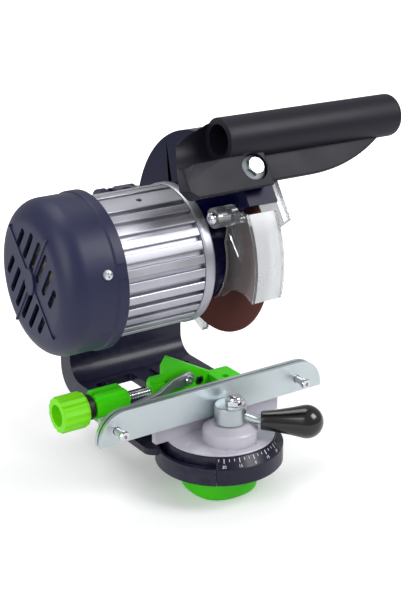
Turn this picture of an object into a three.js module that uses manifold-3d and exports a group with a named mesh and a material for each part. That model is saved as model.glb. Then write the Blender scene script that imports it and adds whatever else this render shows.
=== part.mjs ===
// Electric chainsaw sharpener for the edge of a bench.
// Millimetres, +Z up. X runs along the motor and wheel axis, +Y runs to the back of the bench.
// Sizes are measured from the swivel axis of the chain vise and from the bench face. The finished
// group is then shifted so that its origin lies on the bench face, in the middle of the foot rib.
import * as THREE from 'three';
import { mergeVertices } from 'three/addons/utils/BufferGeometryUtils.js';
import { ConvexGeometry } from 'three/addons/geometries/ConvexGeometry.js';
import Module from 'manifold-3d';

const wasm = await Module();
wasm.setup();

// Fits that all pieces share
const seatGap = 0.3;
const runGap = 0.5;
const overrun = 3;

// Axis of motor and wheel
const axisY = 7.5;
const axisZ = 173;

// Grinding wheel, its flanges and nut
const wheelDiameter = 145;
const wheelThickness = 3.2;
const wheelBore = 22.3;
const flangeDiameter = 40;
const flangeThickness = 3.5;
const flangeSleeveLength = 8;
const wheelNutAcrossFlats = 19;
const wheelNutThickness = 6;

// Rotor
const arborDiameter = 12;
const bearingBore = 15;
const bearingDiameter = 35;
const bearingWidth = 11;
const rotorDiameter = 54;
const coreLength = 46;
const coreCentreX = -82;
const fanShaftDiameter = 10;
const fanDiameter = 98;
const fanHubDiameter = 26;
const fanPlateThickness = 2;
const fanBladeHeight = 11;
const fanBladeThickness = 2;
const fanBladeCount = 9;

// Finned motor housing
const housingLeftX = -122;
const housingRightX = -46;
const finDiameter = 110;
const grooveDepth = 4.6;
const housingBore = 92;
const finCount = 32;
const grooveShare = 0.36;
const landAngle = 107;
const statorTooth = 8;
const slotCount = 12;
const slotReachIn = 9;
const slotBarWidth = 4;
const windingDepth = 8;

// End shields
const frontShieldDiameter = 111.6;
const frontShieldThickness = 10;
const spigotDepth = 4;
const shieldWall = 5;
const rearShieldPlay = 0.6;
const rearShieldThickness = 16;

// Fan cover
const coverFaceX = -164;
const coverRimX = -115.5;
const coverDiameter = 120;
const coverRound = 18;
const coverWall = 2.5;
const rearShieldDiameter = coverDiameter - 2 * (coverWall + rearShieldPlay);
const coverBandWidth = 8;
const coverBandRise = 1.2;
const coverBossLong = 21;
const coverBossWide = 14;
const coverBossRise = 2;
const coverRibAngle = 48;
const coverSlotAngle = 126;
const coverRibWidth = 2;
const coverRibRise = 0.8;
const slotWidth = 5.4;
const slotPitch = 11.6;
const slotStart = 6.5;
const slotReach = 40;
const coverScrewX = -132;
const coverScrewAngle = 165;
const coverScrewHead = 8;
const coverScrewShank = 4;

// Wheel casing
const casingDiameter = 186.8;
const casingLeftX = -17;
const casingRightX = 9;
const casingWall = 2.6;
const casingFrontEnd = 1.4;
const casingRearAngle = -38;
const facetAngle = 145.2;
const facetDistance = 86;
const handleFlatAngle = 120.4;
const handleFlatDistance = 88.6;
const neckDiameter = 84;
const neckWall = 6;
const saddleDiameter = 107.4;
const saddleFrom = 40;
const saddleTo = 143;
const casingScrewCircle = 172;
const casingBossDiameter = 9;
const casingScrewDiameter = 4;

// Side cover over the wheel
const sideCoverDepth = 6;
const sideCoverWall = 2.4;
const sideCoverRearAngle = -70;
const sideCoverHub = 76;

// Hinge at the back
const hingeY = 158;
const hingeZ = 175;
const hingeCentreX = -4;
const armWidth = 21;
const armDeep = 36;
const armHigh = 24;
const knuckleDiameter = 24;
const hingePinDiameter = 10;
const earThickness = 7;
const earDiameter = 24;
const earGap = 0.5;
const hingeNutAcrossFlats = 17;
const hingeNutThickness = 8;
const springWire = 2;
const springOuter = 21.2;
const springWidth = 9.6;
const springPocketDiameter = 25;
const springPocketWidth = 11.3;
const springHubDiameter = 14.4;
const springLeg = 24;

// Depth stop
const stopScrewY = 140;
const stopScrewDiameter = 8;
const stopScrewLength = 38.5;
const stopScrewTop = 187.5;
const stopLedgeZ = 141.5;

// Handle
const tubeFromAxis = 92;
const tubeAlongFacet = 53.5;
const tubeDiameter = 34;
const tubeBore = 24.4;
const tubeLeftX = -28;
const tubeRightX = 140;
const tubeEndWall = 6;
const tubeEndRound = 5;
const blockFace = 98;
const blockBack = 74;
const blockFoot = 11;
const blockLeftX = -71;
const blockRightX = 4;
const blockShoulder = 23.6;
const blockCorner = 6;
const webFace = 92;
const webThickness = 5;
const handleBoltX = -9;
const handleBoltAlong = 27.5;
const handleBoltDiameter = 8;
const handleBoltFlange = 19;
const handleBoltAcrossFlats = 13;
const handleBoltHeadHeight = 6;
const counterboreDiameter = 22;
const counterboreDepth = 3.5;
const handleNutAcrossFlats = 13;
const handleNutThickness = 6;
const handleNutTurn = 30;
const handleNutSeat = 78.3;
const handleNutPad = 21;

// Clear guard
const guardRadius = 82;
const guardWall = 2.2;
const guardPlate = 2.4;
const guardRightX = 8;
const guardInnerShare = 0.5366;
const guardInnerRadius = guardRadius * guardInnerShare;
const guardPivotShareY = 0.5988;
const guardPivotShareZ = 0.4756;
const guardPivotY = -guardRadius * guardPivotShareY;
const guardPivotZ = guardRadius * guardPivotShareZ;
const guardRimStart = 2.6;
const guardRimEnd = 197;
const guardTailFrom = 232;
const guardTailTo = 160;
const guardBossDiameter = 16;
const guardBossLength = 18;
const guardBoltDiameter = 5;
const guardBoltHead = 10;
const guardRib = 2;
const guardRibRise = 5;

// Base bracket
const baseWidth = 120;
const baseFloorTop = 17;
const baseShell = 6;
const baseWallFront = 152;
const baseFlangeDepth = 18;
const baseInnerFillet = 18;
const baseOuterRound = 24;
const baseShoulderY = 48;
const baseHornY = 20;
const baseTaperLow = 78;
const baseTaperHigh = 138;
const baseNeckHalf = 18;
const baseHoleX = 45;
const baseHoleY = 122;
const baseHoleDiameter = 9;
const baseBossDiameter = 20;
const windowInner = 11;
const windowOuter = 40;
const windowFront = 93;
const windowBack = 126;
const windowLip = 2;
const footRibY = 72;
const footRibWidth = 16;

// Seat of the swivel table
const seatRingRadius = 48;
const seatBand = 6.5;
const seatRadius = seatRingRadius + seatBand;
const seatBottom = -14.6;
const seatTop = 0.5;
const seatRingTop = 8.3;
const seatShoulder = 8;
const seatPocketRadius = seatRingRadius - seatShoulder;
const seatPocketFloor = -7;
const slotFromAngle = -38;
const slotToAngle = -118;
const slotDepth = 7;
const scaleHalfAngle = 37;
const lockStudDiameter = 10;

// Swivel table
const tableLip = 0.8;
const tableRadius = seatRingRadius - tableLip;
const tableTop = 10;
const hubHeight = 15;
const hubRadius = 15;
const panelDepth = 0.8;
const panelInner = 18;
const panelMargin = 4.7;
const panelOuter = tableRadius - panelMargin;
const railFront = 4.6;
const railBack = 10.6;
const railBottom = 29;
const railTop = 45.6;
const railLeftX = -110;
const railRightX = 96;
const webLeftX = -60;
const webRightX = 65;
const webBottom = 7.6;

// Jaws
const jawLeftX = -117;
const jawRightX = 105;
const jawBottom = 26.8;
const jawTop = 53.8;
const jawThickness = 3.5;
const jawCorner = 24;
const rearJawFront = 0.7;
const frontJawFront = -4.5;
const guideLeftX = -101.6;
const guideRightX = 78.8;
const guideZ = 38.7;
const guideDiameter = 6;
const guideProud = 10;
const guideHeadDiameter = 9;
const guideHeadHeight = 4;

// Cam clamp
const camX = 1.6;
const camY = -20.2;
const camRadius = 13.3;
const camThrow = 3.66;
const camPhase = 145;
const camBottom = 25.6;
const camTop = 41.4;
const camBossRadius = 23;
const camBossDrop = 4.1;
const camBossChamfer = 8;
const camBoltDiameter = 8;
const acornAcrossFlats = 14.4;
const acornHeight = 9;
const leverAngle = -37.2;
const leverZ = 26.9;
const leverRodDiameter = 7;
const leverRodReach = 25;
const leverBendReach = 19;
const leverRise = 0.37;
const leverKnobStart = 21.5;
const leverKnobReach = 73.5;
const leverKnobNeck = 16;
const leverBallDiameter = 28;
const leverNeckAngle = 102;

// Chain stop
const adjusterY = 25;
const adjusterZ = 50;
const adjusterDiameter = 6;
const adjusterKnobDiameter = 30;
const adjusterKnobLeft = -139;
const adjusterKnobRight = -115;
const adjusterKnobBore = 18;
const adjusterKnobHollow = 12;
const adjusterLobes = 8;
const collarDiameter = 21;
const collarLeft = -114.5;
const collarRight = -108.6;
const blockStopLeft = -108;
const blockStopRight = -78;
const blockStopFront = 13.5;
const blockStopBack = 33;
const blockStopBottom = 33;
const blockFootTop = 44;
const stopBlockScrew = 4;
const stopBlockScrewX = -90;
const stopBlockScrewZ = 38;
const finThickness = 5;
const finTop = 61;
const finSpread = 10;
const finFloor = 57;
const carriageFront = 24;
const carriageThickness = 6;
const carriageLeft = -40;
const carriageApexX = -34.7;
const carriageApexZ = 76.2;
const carriageShoulderZ = 68;
const carriageRight = 10.2;
const carriageRightZ = 51.4;
const carriageBottom = 36;
const finLowLeft = -53;
const finLowTop = 60;
const lugRight = 28;
const lugFront = 5;
const lugThickness = 5.4;
const lugHoleX = 15;
const lugHoleY = 13;
const lugHoleDiameter = 6.5;
const lockScrewX = -4;
const lockScrewZ = 47.6;
const lockScrewDiameter = 8;
const pawlPivotX = -19.5;
const pawlPivotZ = 54.6;
const pawlBoltDiameter = 4;
const pawlHeadDiameter = 8;
const pawlSpacer = 2;
const pawlThickness = 4.5;
const pawlRootRadius = 6.4;
const pawlEyeFrom = -80;
const pawlEyeTo = 95;
const pawlBendX = -34;
const pawlKneeX = -50;
const pawlKneeZ = 48.8;
const pawlTipX = -80;
const pawlTipFront = 5.2;
const pawlTipZ = 48.9;
const pawlTipDepth = 5;
const pawlShankDepth = 9;
const carriageBossFront = 20.5;
const carriageBossHeight = 11;
const adjusterEndX = -41.5;
const carriageTravel = 6;

// Lock knob under the seat
const lockKnobTop = -15;
const lockKnobHeight = 26;
const lockKnobRadius = 32.8;
const lockKnobFoot = 31.5;
const lockKnobLobes = 4;
const lockKnobDip = 2.5;
const lockKnobPhase = Math.PI;

// Switch box, capacitor and cable gland behind the motor
const boxLeftX = -112;
const boxRightX = -66;
const boxBack = 88;
const boxBottom = -22;
const boxTop = 24;
const boxWall = 2.5;
const rockerWidth = 20;
const rockerHeight = 13;
const rockerProud = 3;
const glandDiameter = 16;
const glandLength = 14;
const glandBore = 7.5;
const capacitorDiameter = 26;
const capacitorLength = 38;

// Counts that set how finely round forms are cut
const fineSteps = 36;
const plainSteps = 20;
const smallSteps = 12;
const screwSteps = 8;

const degree = Math.PI / 180;
const fullTurn = 360;
const weld = 1e-4;

// Materials
function finish(colour, roughness, metalness) {
  return new THREE.MeshStandardMaterial({ color: colour, roughness, metalness });
}
const slatePlastic = finish(0x3a3a4e, 0.45, 0);
const charcoalPlastic = finish(0x34323a, 0.55, 0);
const navyPaint = finish(0x232132, 0.35, 0);
const greenPlastic = finish(0x46dc00, 0.5, 0);
const limePlastic = finish(0x82e600, 0.5, 0);
const zincSteel = finish(0xcdd7da, 0.35, 1);
const aluminium = finish(0xa5a5af, 0.5, 1);
const castGrey = finish(0xa5a0aa, 0.5, 0.6);
const chrome = finish(0xd8d8dc, 0.12, 1);
const abrasive = finish(0x5f2d26, 0.95, 0);
const clearPlastic = finish(0xdfe6e8, 0.1, 0);
const blackPlastic = finish(0x101012, 0.25, 0);
const darkSteel = finish(0x50505a, 0.45, 1);
const copper = finish(0xb06a3a, 0.4, 1);
const beigePlastic = finish(0x9a967c, 0.6, 0);
clearPlastic.transparent = true;
clearPlastic.opacity = 0.35;

// Closed bodies

// Welds the corners of a closed geometry, drops collapsed triangles and turns its faces outwards.
function closedBody(geometry) {
  const bare = geometry.index ? geometry.toNonIndexed() : geometry.clone();
  bare.deleteAttribute('normal');
  bare.deleteAttribute('uv');
  const merged = mergeVertices(bare, weld);
  const place = merged.getAttribute('position');
  const kept = [];
  let volume = 0;
  const a = new THREE.Vector3();
  const b = new THREE.Vector3();
  const c = new THREE.Vector3();
  for (let i = 0; i < merged.index.count; i += 3) {
    const [p, q, r] = [0, 1, 2].map((k) => merged.index.getX(i + k));
    if (p === q || q === r || r === p) continue;
    kept.push([p, q, r]);
    a.fromBufferAttribute(place, p);
    b.fromBufferAttribute(place, q);
    c.fromBufferAttribute(place, r);
    volume += a.dot(b.cross(c));
  }
  merged.setIndex(kept.flatMap(([p, q, r]) => (volume < 0 ? [p, r, q] : [p, q, r])));
  return merged;
}

function toSolid(geometry) {
  const body = closedBody(geometry);
  const vertProperties = new Float32Array(body.getAttribute('position').array);
  const triVerts = new Uint32Array(body.index.array);
  return new wasm.Manifold(new wasm.Mesh({ numProp: 3, vertProperties, triVerts }));
}

function toGeometry(solid) {
  const { vertProperties, triVerts } = solid.getMesh();
  const geometry = new THREE.BufferGeometry();
  geometry.setAttribute('position', new THREE.BufferAttribute(new Float32Array(vertProperties), 3));
  geometry.setIndex(new THREE.BufferAttribute(new Uint32Array(triVerts), 1));
  return geometry;
}

function join(...geometries) {
  return toGeometry(geometries.map(toSolid).reduce((whole, next) => whole.add(next)));
}

function cut(body, ...tools) {
  return toGeometry(tools.map(toSolid).reduce((left, tool) => left.subtract(tool), toSolid(body)));
}

function common(body, other) {
  return toGeometry(toSolid(body).intersect(toSolid(other)));
}

// Outlines

function ring(radius, steps, x = 0, y = 0, turn = 0) {
  return Array.from({ length: steps }, (_, i) => {
    const angle = (turn + (i * fullTurn) / steps) * degree;
    return [x + radius * Math.cos(angle), y + radius * Math.sin(angle)];
  });
}

function arc(radius, from, to, steps, x = 0, y = 0) {
  return Array.from({ length: steps + 1 }, (_, i) => {
    const angle = (from + ((to - from) * i) / steps) * degree;
    return [x + radius * Math.cos(angle), y + radius * Math.sin(angle)];
  });
}

function hexagon(acrossFlats, x = 0, y = 0) {
  return ring(acrossFlats / Math.sqrt(3), 6, x, y);
}

function rectangle(left, right, low, high) {
  return [[left, low], [right, low], [right, high], [left, high]];
}

// A sector of a ring between two radii and two angles.
function sector(inner, outer, from, to, steps) {
  return [...arc(outer, from, to, steps), ...arc(inner, to, from, steps)];
}

// Bodies from outlines

// How an outline's own x, y and its thickness lie for a plate that is square to each axis.
const platePlanes = {
  x: new THREE.Matrix4().set(0, 0, 1, 0, 1, 0, 0, 0, 0, 1, 0, 0, 0, 0, 0, 1),
  y: new THREE.Matrix4().set(1, 0, 0, 0, 0, 0, 1, 0, 0, 1, 0, 0, 0, 0, 0, 1),
  z: new THREE.Matrix4(),
};

// A plate square to an axis, from its outline and holes, between two places on that axis.
function plate(axis, outline, low, high, holes = []) {
  const shape = new THREE.Shape(outline.map(([x, y]) => new THREE.Vector2(x, y)));
  shape.holes = holes.map((hole) => new THREE.Path(hole.map(([x, y]) => new THREE.Vector2(x, y))));
  const geometry = new THREE.ExtrudeGeometry(shape, { depth: high - low, bevelEnabled: false });
  geometry.translate(0, 0, low);
  geometry.applyMatrix4(platePlanes[axis]);
  return closedBody(geometry);
}

function block(x0, x1, y0, y1, z0, z1) {
  return plate('z', rectangle(x0, x1, y0, y1), z0, z1);
}

// A body of revolution. The profile's points are [radius, place along the axis].
function turned(axis, profile, steps) {
  const points = [...profile, profile[0]].map(([radius, along]) => new THREE.Vector2(radius, along));
  const geometry = new THREE.LatheGeometry(points, steps);
  if (axis === 'x') geometry.rotateZ(-Math.PI / 2);
  if (axis === 'z') geometry.rotateX(Math.PI / 2);
  return closedBody(geometry);
}

function rod(axis, diameter, low, high, u = 0, v = 0, steps = smallSteps) {
  return plate(axis, ring(diameter / 2, steps, u, v), low, high);
}

function tube(axis, outer, inner, low, high, u = 0, v = 0, steps = plainSteps) {
  return plate(axis, ring(outer / 2, steps, u, v), low, high, [ring(inner / 2, steps, u, v)]);
}

function moved(geometry, x, y, z) {
  return geometry.clone().translate(x, y, z);
}

function turnedAbout(geometry, axis, angle, x = 0, y = 0, z = 0) {
  const copy = geometry.clone().translate(-x, -y, -z);
  copy.applyMatrix4(new THREE.Matrix4().makeRotationAxis(axis, angle * degree));
  return copy.translate(x, y, z);
}

const alongX = new THREE.Vector3(1, 0, 0);
const alongY = new THREE.Vector3(0, 1, 0);
const alongZ = new THREE.Vector3(0, 0, 1);

// Repeats a body round the motor axis at the given angles.
function aroundX(geometry, angles) {
  return join(...angles.map((angle) => turnedAbout(geometry, alongX, angle)));
}

// Scene graph
const sharpener = new THREE.Group();
sharpener.position.set(0, -footRibY, 0);
const head = new THREE.Group();
head.position.set(0, axisY, axisZ);
sharpener.add(head);

function node(parent, name, geometry, material) {
  const bare = closedBody(geometry);
  bare.computeVertexNormals();
  const mesh = new THREE.Mesh(bare, material);
  mesh.name = name;
  parent.add(mesh);
  return bare;
}

// Places that several pieces share, from the motor axis
const wheelHalf = wheelThickness / 2;
const innerFlangeRight = -wheelHalf - seatGap;
const innerFlangeLeft = innerFlangeRight - flangeThickness;
const outerFlangeLeft = wheelHalf + seatGap;
const outerFlangeRight = outerFlangeLeft + flangeThickness;
const nutLeft = outerFlangeRight + seatGap;
const shaftRight = nutLeft + wheelNutThickness + runGap;
const arborHole = arborDiameter + 2 * seatGap;
const housingRadius = finDiameter / 2;
const bearingHole = bearingDiameter + 2 * seatGap;
const frontShieldRight = housingRightX + frontShieldThickness;
const frontBearingRight = frontShieldRight - shieldWall;
const frontBearingLeft = frontBearingRight - bearingWidth;
const rearShieldLeft = housingLeftX - rearShieldThickness;
const rearBearingLeft = rearShieldLeft + shieldWall;
const rearBearingRight = rearBearingLeft + bearingWidth;
const coreLeft = coreCentreX - coreLength / 2;
const coreRight = coreCentreX + coreLength / 2;
const fanBack = rearShieldLeft - fanPlateThickness - seatGap - runGap;
const fanFront = fanBack - fanBladeHeight;

// Rotor

function grindingWheel() {
  return plate('x', ring(wheelDiameter / 2, fineSteps), -wheelHalf, wheelHalf,
    [ring(wheelBore / 2, plainSteps)]);
}

function innerFlange() {
  const pilot = wheelBore / 2 - seatGap;
  const rim = flangeDiameter / 2;
  return turned('x', [
    [arborHole / 2, innerFlangeLeft - flangeSleeveLength],
    [pilot, innerFlangeLeft - flangeSleeveLength],
    [pilot, innerFlangeLeft],
    [rim, innerFlangeLeft],
    [rim, innerFlangeRight],
    [pilot, innerFlangeRight],
    [pilot, wheelHalf],
    [arborHole / 2, wheelHalf],
  ], plainSteps);
}

function outerFlange() {
  return tube('x', flangeDiameter, arborHole, outerFlangeLeft, outerFlangeRight);
}

function wheelNut() {
  return plate('x', hexagon(wheelNutAcrossFlats), nutLeft, nutLeft + wheelNutThickness,
    [ring(arborHole / 2, smallSteps)]);
}

function rotorShaft() {
  const seat = bearingBore / 2 - seatGap;
  const collar = seat + seatGap + wheelHalf;
  const fanSeat = fanShaftDiameter / 2;
  const arbor = arborDiameter / 2;
  const arborStart = innerFlangeLeft - flangeSleeveLength - seatGap;
  return turned('x', [
    [0, fanFront],
    [fanSeat, fanFront],
    [fanSeat, rearShieldLeft],
    [seat, rearShieldLeft],
    [seat, rearBearingRight + seatGap],
    [collar, rearBearingRight + seatGap],
    [collar, frontBearingLeft - seatGap],
    [seat, frontBearingLeft - seatGap],
    [seat, arborStart],
    [arbor, arborStart],
    [arbor, shaftRight],
    [0, shaftRight],
  ], smallSteps);
}

function rotorCore() {
  const collar = bearingBore / 2 + wheelHalf;
  return tube('x', rotorDiameter, 2 * (collar + seatGap), coreLeft, coreRight);
}

function coolingFan() {
  const hub = turned('x', [
    [fanShaftDiameter / 2 + seatGap, fanFront],
    [fanHubDiameter / 2, fanFront],
    [fanHubDiameter / 2, fanBack],
    [fanDiameter / 2, fanBack],
    [fanDiameter / 2, fanBack + fanPlateThickness],
    [fanShaftDiameter / 2 + seatGap, fanBack + fanPlateThickness],
  ], plainSteps);
  const bladeHalf = fanBladeThickness / 2;
  const blade = block(fanFront + fanBladeThickness, fanBack + bladeHalf, fanHubDiameter / 2 - bladeHalf,
    fanDiameter / 2 - bladeHalf, -bladeHalf, bladeHalf);
  const angles = Array.from({ length: fanBladeCount }, (_, i) => (i * fullTurn) / fanBladeCount);
  return join(hub, aroundX(blade, angles));
}

function bearing(left) {
  const inner = bearingBore / 2;
  const outer = bearingDiameter / 2;
  const shoulder = (outer - inner) / 3;
  const right = left + bearingWidth;
  return turned('x', [
    [inner, left],
    [outer - shoulder, left],
    [outer, left + runGap],
    [outer, right],
    [inner, right],
  ], plainSteps);
}

// Motor body

// Fin outline: equal grooves all round, with one left out where the flat land lies.
function finOutline() {
  const pitch = fullTurn / finCount;
  const half = (pitch * grooveShare) / 2;
  const floor = housingRadius - grooveDepth;
  const points = [];
  for (let i = 0; i < finCount; i += 1) {
    const middle = landAngle + (i + 0.5) * pitch - pitch / 2;
    const onLand = i === 0;
    const corners = onLand
      ? [[housingRadius, middle - half], [housingRadius, middle + half]]
      : [[housingRadius, middle - half], [floor, middle - half * 0.8],
        [floor, middle + half * 0.8], [housingRadius, middle + half]];
    corners.forEach(([radius, angle]) => {
      points.push([radius * Math.cos(angle * degree), radius * Math.sin(angle * degree)]);
    });
  }
  return points;
}

function motorHousing() {
  return plate('x', finOutline(), housingLeftX, housingRightX, [ring(housingBore / 2, fineSteps)]);
}

// Stator core with open slots, and the winding's bars in them between its two end rings
function slotBar(inner, outer, width, left, right) {
  const bar = block(left, right, inner, outer, -width / 2, width / 2);
  const angles = Array.from({ length: slotCount }, (_, i) => (i * fullTurn) / slotCount);
  return angles.map((angle) => turnedAbout(bar, alongX, angle));
}

function statorCore() {
  const bore = rotorDiameter / 2 + runGap;
  const core = plate('x', ring(housingBore / 2 - seatGap, fineSteps), coreLeft, coreRight,
    [ring(bore, plainSteps)]);
  const slots = slotBar(bore - runGap, bore + slotReachIn + seatGap, slotBarWidth + 2 * seatGap,
    coreLeft - overrun, coreRight + overrun);
  return cut(core, ...slots);
}

function statorWindings() {
  const inner = rotorDiameter + statorTooth;
  const outer = housingBore - statorTooth;
  const bore = rotorDiameter / 2 + runGap;
  const left = tube('x', outer, inner, coreLeft - seatGap - windingDepth, coreLeft - seatGap);
  const right = tube('x', outer, inner, coreRight + seatGap, coreRight + seatGap + windingDepth / 2);
  const bars = slotBar(inner / 2, bore + slotReachIn, slotBarWidth, coreLeft - seatGap - runGap,
    coreRight + seatGap + runGap);
  return join(left, right, ...bars);
}

function frontEndShield() {
  const rim = frontShieldDiameter / 2;
  const spigot = housingBore / 2 - seatGap;
  const shaftHole = bearingBore / 2 + runGap;
  const left = housingRightX + seatGap;
  const hub = bearingHole / 2 + shieldWall;
  return turned('x', [
    [shaftHole, frontShieldRight],
    [rim - runGap, frontShieldRight],
    [rim, frontShieldRight - runGap],
    [rim, left],
    [spigot, left],
    [spigot, left - spigotDepth],
    [spigot - shieldWall, left - spigotDepth],
    [spigot - shieldWall, frontShieldRight - shieldWall],
    [hub, frontShieldRight - shieldWall],
    [hub, frontBearingLeft],
    [bearingHole / 2, frontBearingLeft],
    [bearingHole / 2, frontBearingRight + seatGap],
    [shaftHole, frontBearingRight + seatGap],
  ], fineSteps);
}

function rearEndShield() {
  const rim = rearShieldDiameter / 2;
  const spigot = housingBore / 2 - seatGap;
  const shaftHole = bearingBore / 2 + runGap;
  const right = housingLeftX - seatGap;
  const hub = bearingHole / 2 + shieldWall;
  const web = rearShieldLeft + shieldWall;
  const body = turned('x', [
    [shaftHole, rearShieldLeft],
    [rim, rearShieldLeft],
    [rim, right],
    [spigot, right],
    [spigot, right + spigotDepth],
    [spigot - shieldWall, right + spigotDepth],
    [spigot - shieldWall, web],
    [hub, web],
    [hub, rearBearingRight],
    [bearingHole / 2, rearBearingRight],
    [bearingHole / 2, rearBearingLeft - seatGap],
    [shaftHole, rearBearingLeft - seatGap],
  ], fineSteps);
  return cut(body, ...coverScrewHoles());
}

// Fan cover with its slotted face

const coverScrewAngles = [0, 120, 240].map((angle) => coverScrewAngle + angle);

function coverScrewHoles() {
  const hole = rod('y', coverScrewShank + 2 * seatGap, housingBore / 2, coverDiameter / 2 + overrun,
    coverScrewX, 0, screwSteps);
  return coverScrewAngles.map((angle) => turnedAbout(hole, alongX, angle));
}

function coverScrew(angle) {
  const top = coverDiameter / 2 + coverBandRise;
  const base = coverDiameter / 2 + seatGap;
  const shank = rod('y', coverScrewShank, housingBore / 2 + shieldWall, base + seatGap, coverScrewX, 0,
    screwSteps);
  const cap = rod('y', coverScrewHead, base, top + coverBandRise, coverScrewX, 0, screwSteps);
  const recess = coverScrewHead / 8;
  const cross = join(
    block(coverScrewX - coverScrewHead / 3, coverScrewX + coverScrewHead / 3, top, top + overrun,
      -recess / 2, recess / 2),
    block(coverScrewX - recess / 2, coverScrewX + recess / 2, top, top + overrun,
      -coverScrewHead / 3, coverScrewHead / 3),
  );
  return turnedAbout(cut(join(shank, cap), cross), alongX, angle);
}

function coverSlot(along) {
  const reach = Math.sqrt(slotReach * slotReach - along * along) - coverRibWidth;
  const outline = rectangle(slotStart, reach, along - slotWidth / 2, along + slotWidth / 2);
  const tool = plate('x', outline, coverFaceX - overrun, coverFaceX + coverWall + overrun);
  return turnedAbout(tool, alongX, coverSlotAngle);
}

function fanCover() {
  const side = coverDiameter / 2;
  const band = side + coverBandRise;
  const flat = side - coverRound;
  const bandLeft = coverRimX - coverBandWidth;
  const roundX = coverFaceX + coverRound;
  const outerRound = arc(coverRound, 180, 90, 5, roundX, flat).map(([x, r]) => [r, x]);
  const innerRound = arc(coverRound - coverWall, 90, 180, 3, roundX, flat).map(([x, r]) => [r, x]);
  const shell = turned('x', [
    [0, coverFaceX],
    ...outerRound,
    [side, bandLeft - coverBandRise],
    [band, bandLeft],
    [band, coverRimX],
    [side - coverWall + seatGap, coverRimX],
    ...innerRound,
    [0, coverFaceX + coverWall],
  ], fineSteps);
  const boss = plate('x', ring(coverBossWide / 2, smallSteps).map(([y, z]) => [y,
    (z * coverBossLong) / coverBossWide]), coverFaceX - coverBossRise, coverFaceX + coverWall / 2);
  const ribHalf = coverRibWidth / 2;
  const rib = block(coverFaceX - coverRibRise, coverFaceX + coverWall / 2, -flat - coverRound / 3,
    flat + coverRound / 3, -ribHalf, ribHalf);
  const faceDisc = rod('x', 2 * (flat + coverRound / 3), coverFaceX - coverBossRise - overrun, roundX,
    0, 0, plainSteps);
  const ribs = common(join(turnedAbout(rib, alongX, coverRibAngle),
    turnedAbout(rib, alongX, coverSlotAngle)), faceDisc);
  const rows = [-2.5, -1.5, -0.5, 0.5, 1.5, 2.5].map((row) => row * slotPitch);
  const slots = [];
  rows.forEach((along) => {
    slots.push(coverSlot(along));
    slots.push(turnedAbout(coverSlot(along), alongX, fullTurn / 2));
  });
  const notchHalf = coverScrewHead / 2 + coverRibWidth;
  const notch = block(bandLeft - coverBandRise - overrun, coverRimX + overrun, side,
    band + overrun, -notchHalf, notchHalf);
  const notches = coverScrewAngles.map((angle) => turnedAbout(notch, alongX, angle));
  const slotted = cut(shell, ...slots);
  return cut(join(slotted, boss, ribs), ...notches, ...coverScrewHoles());
}

// Facet frame: a point X, a distance from the motor axis along the facet's normal, and one along it
const facetNormal = [Math.cos(facetAngle * degree), Math.sin(facetAngle * degree)];
const facetAlong = [Math.sin(facetAngle * degree), -Math.cos(facetAngle * degree)];

// A body drawn with Y as the distance along the facet and Z as the distance from the axis.
function onFacet(geometry) {
  const copy = geometry.clone();
  copy.applyMatrix4(new THREE.Matrix4().set(
    1, 0, 0, 0,
    0, facetAlong[0], facetNormal[0], 0,
    0, facetAlong[1], facetNormal[1], 0,
    0, 0, 0, 1,
  ));
  return copy;
}

// Wheel casing

const casingRadius = casingDiameter / 2;
const hingeAlongY = hingeY - axisY;
const hingeAlongZ = hingeZ - axisZ;
const armLeftX = hingeCentreX - armWidth / 2;
const armRightX = hingeCentreX + armWidth / 2;

// Everything on the motor's side of a plane that lies square to an angle, at a distance.
function halfSpace(angle, distance, left, right) {
  const far = 2 * casingDiameter;
  const slab = block(left, right, -far, distance, -far, far);
  return turnedAbout(slab, alongX, angle);
}

function casingDrum(radius, left, right, inset) {
  const disc = rod('x', 2 * radius, left, right, 0, 0, fineSteps);
  const facet = halfSpace(facetAngle, facetDistance - inset, left - overrun, right + overrun);
  const flat = halfSpace(handleFlatAngle, handleFlatDistance - inset, left - overrun, right + overrun);
  return common(common(disc, facet), flat);
}

// The part of a disc that lies above the casing's front and rear ends.
function casingWindow(left, right) {
  const far = casingDiameter;
  const front = onFacet(block(left, right, casingFrontEnd, far, 0, far));
  const upper = plate('x', [[0, 0], ...arc(far, casingRearAngle, facetAngle, 8)], left, right);
  const behind = common(upper, turnedAbout(block(left, right, -far, far, -far, far), alongX, 0));
  const beforeFront = plate('x', [[0, 0], ...arc(far, facetAngle - 60, facetAngle + 40, 6)], left, right);
  return join(cut(behind, beforeFront), common(beforeFront, front));
}

const casingScrewAngles = [95, 28, -30];

function casingHoles(diameter, low, high) {
  const hole = rod('x', diameter, low, high, casingScrewCircle / 2, 0, screwSteps);
  return casingScrewAngles.map((angle) => turnedAbout(hole, alongX, angle));
}

function handleBoltHole(diameter, low, high) {
  return onFacet(rod('z', diameter, low, high, handleBoltX, handleBoltAlong, smallSteps));
}

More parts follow.
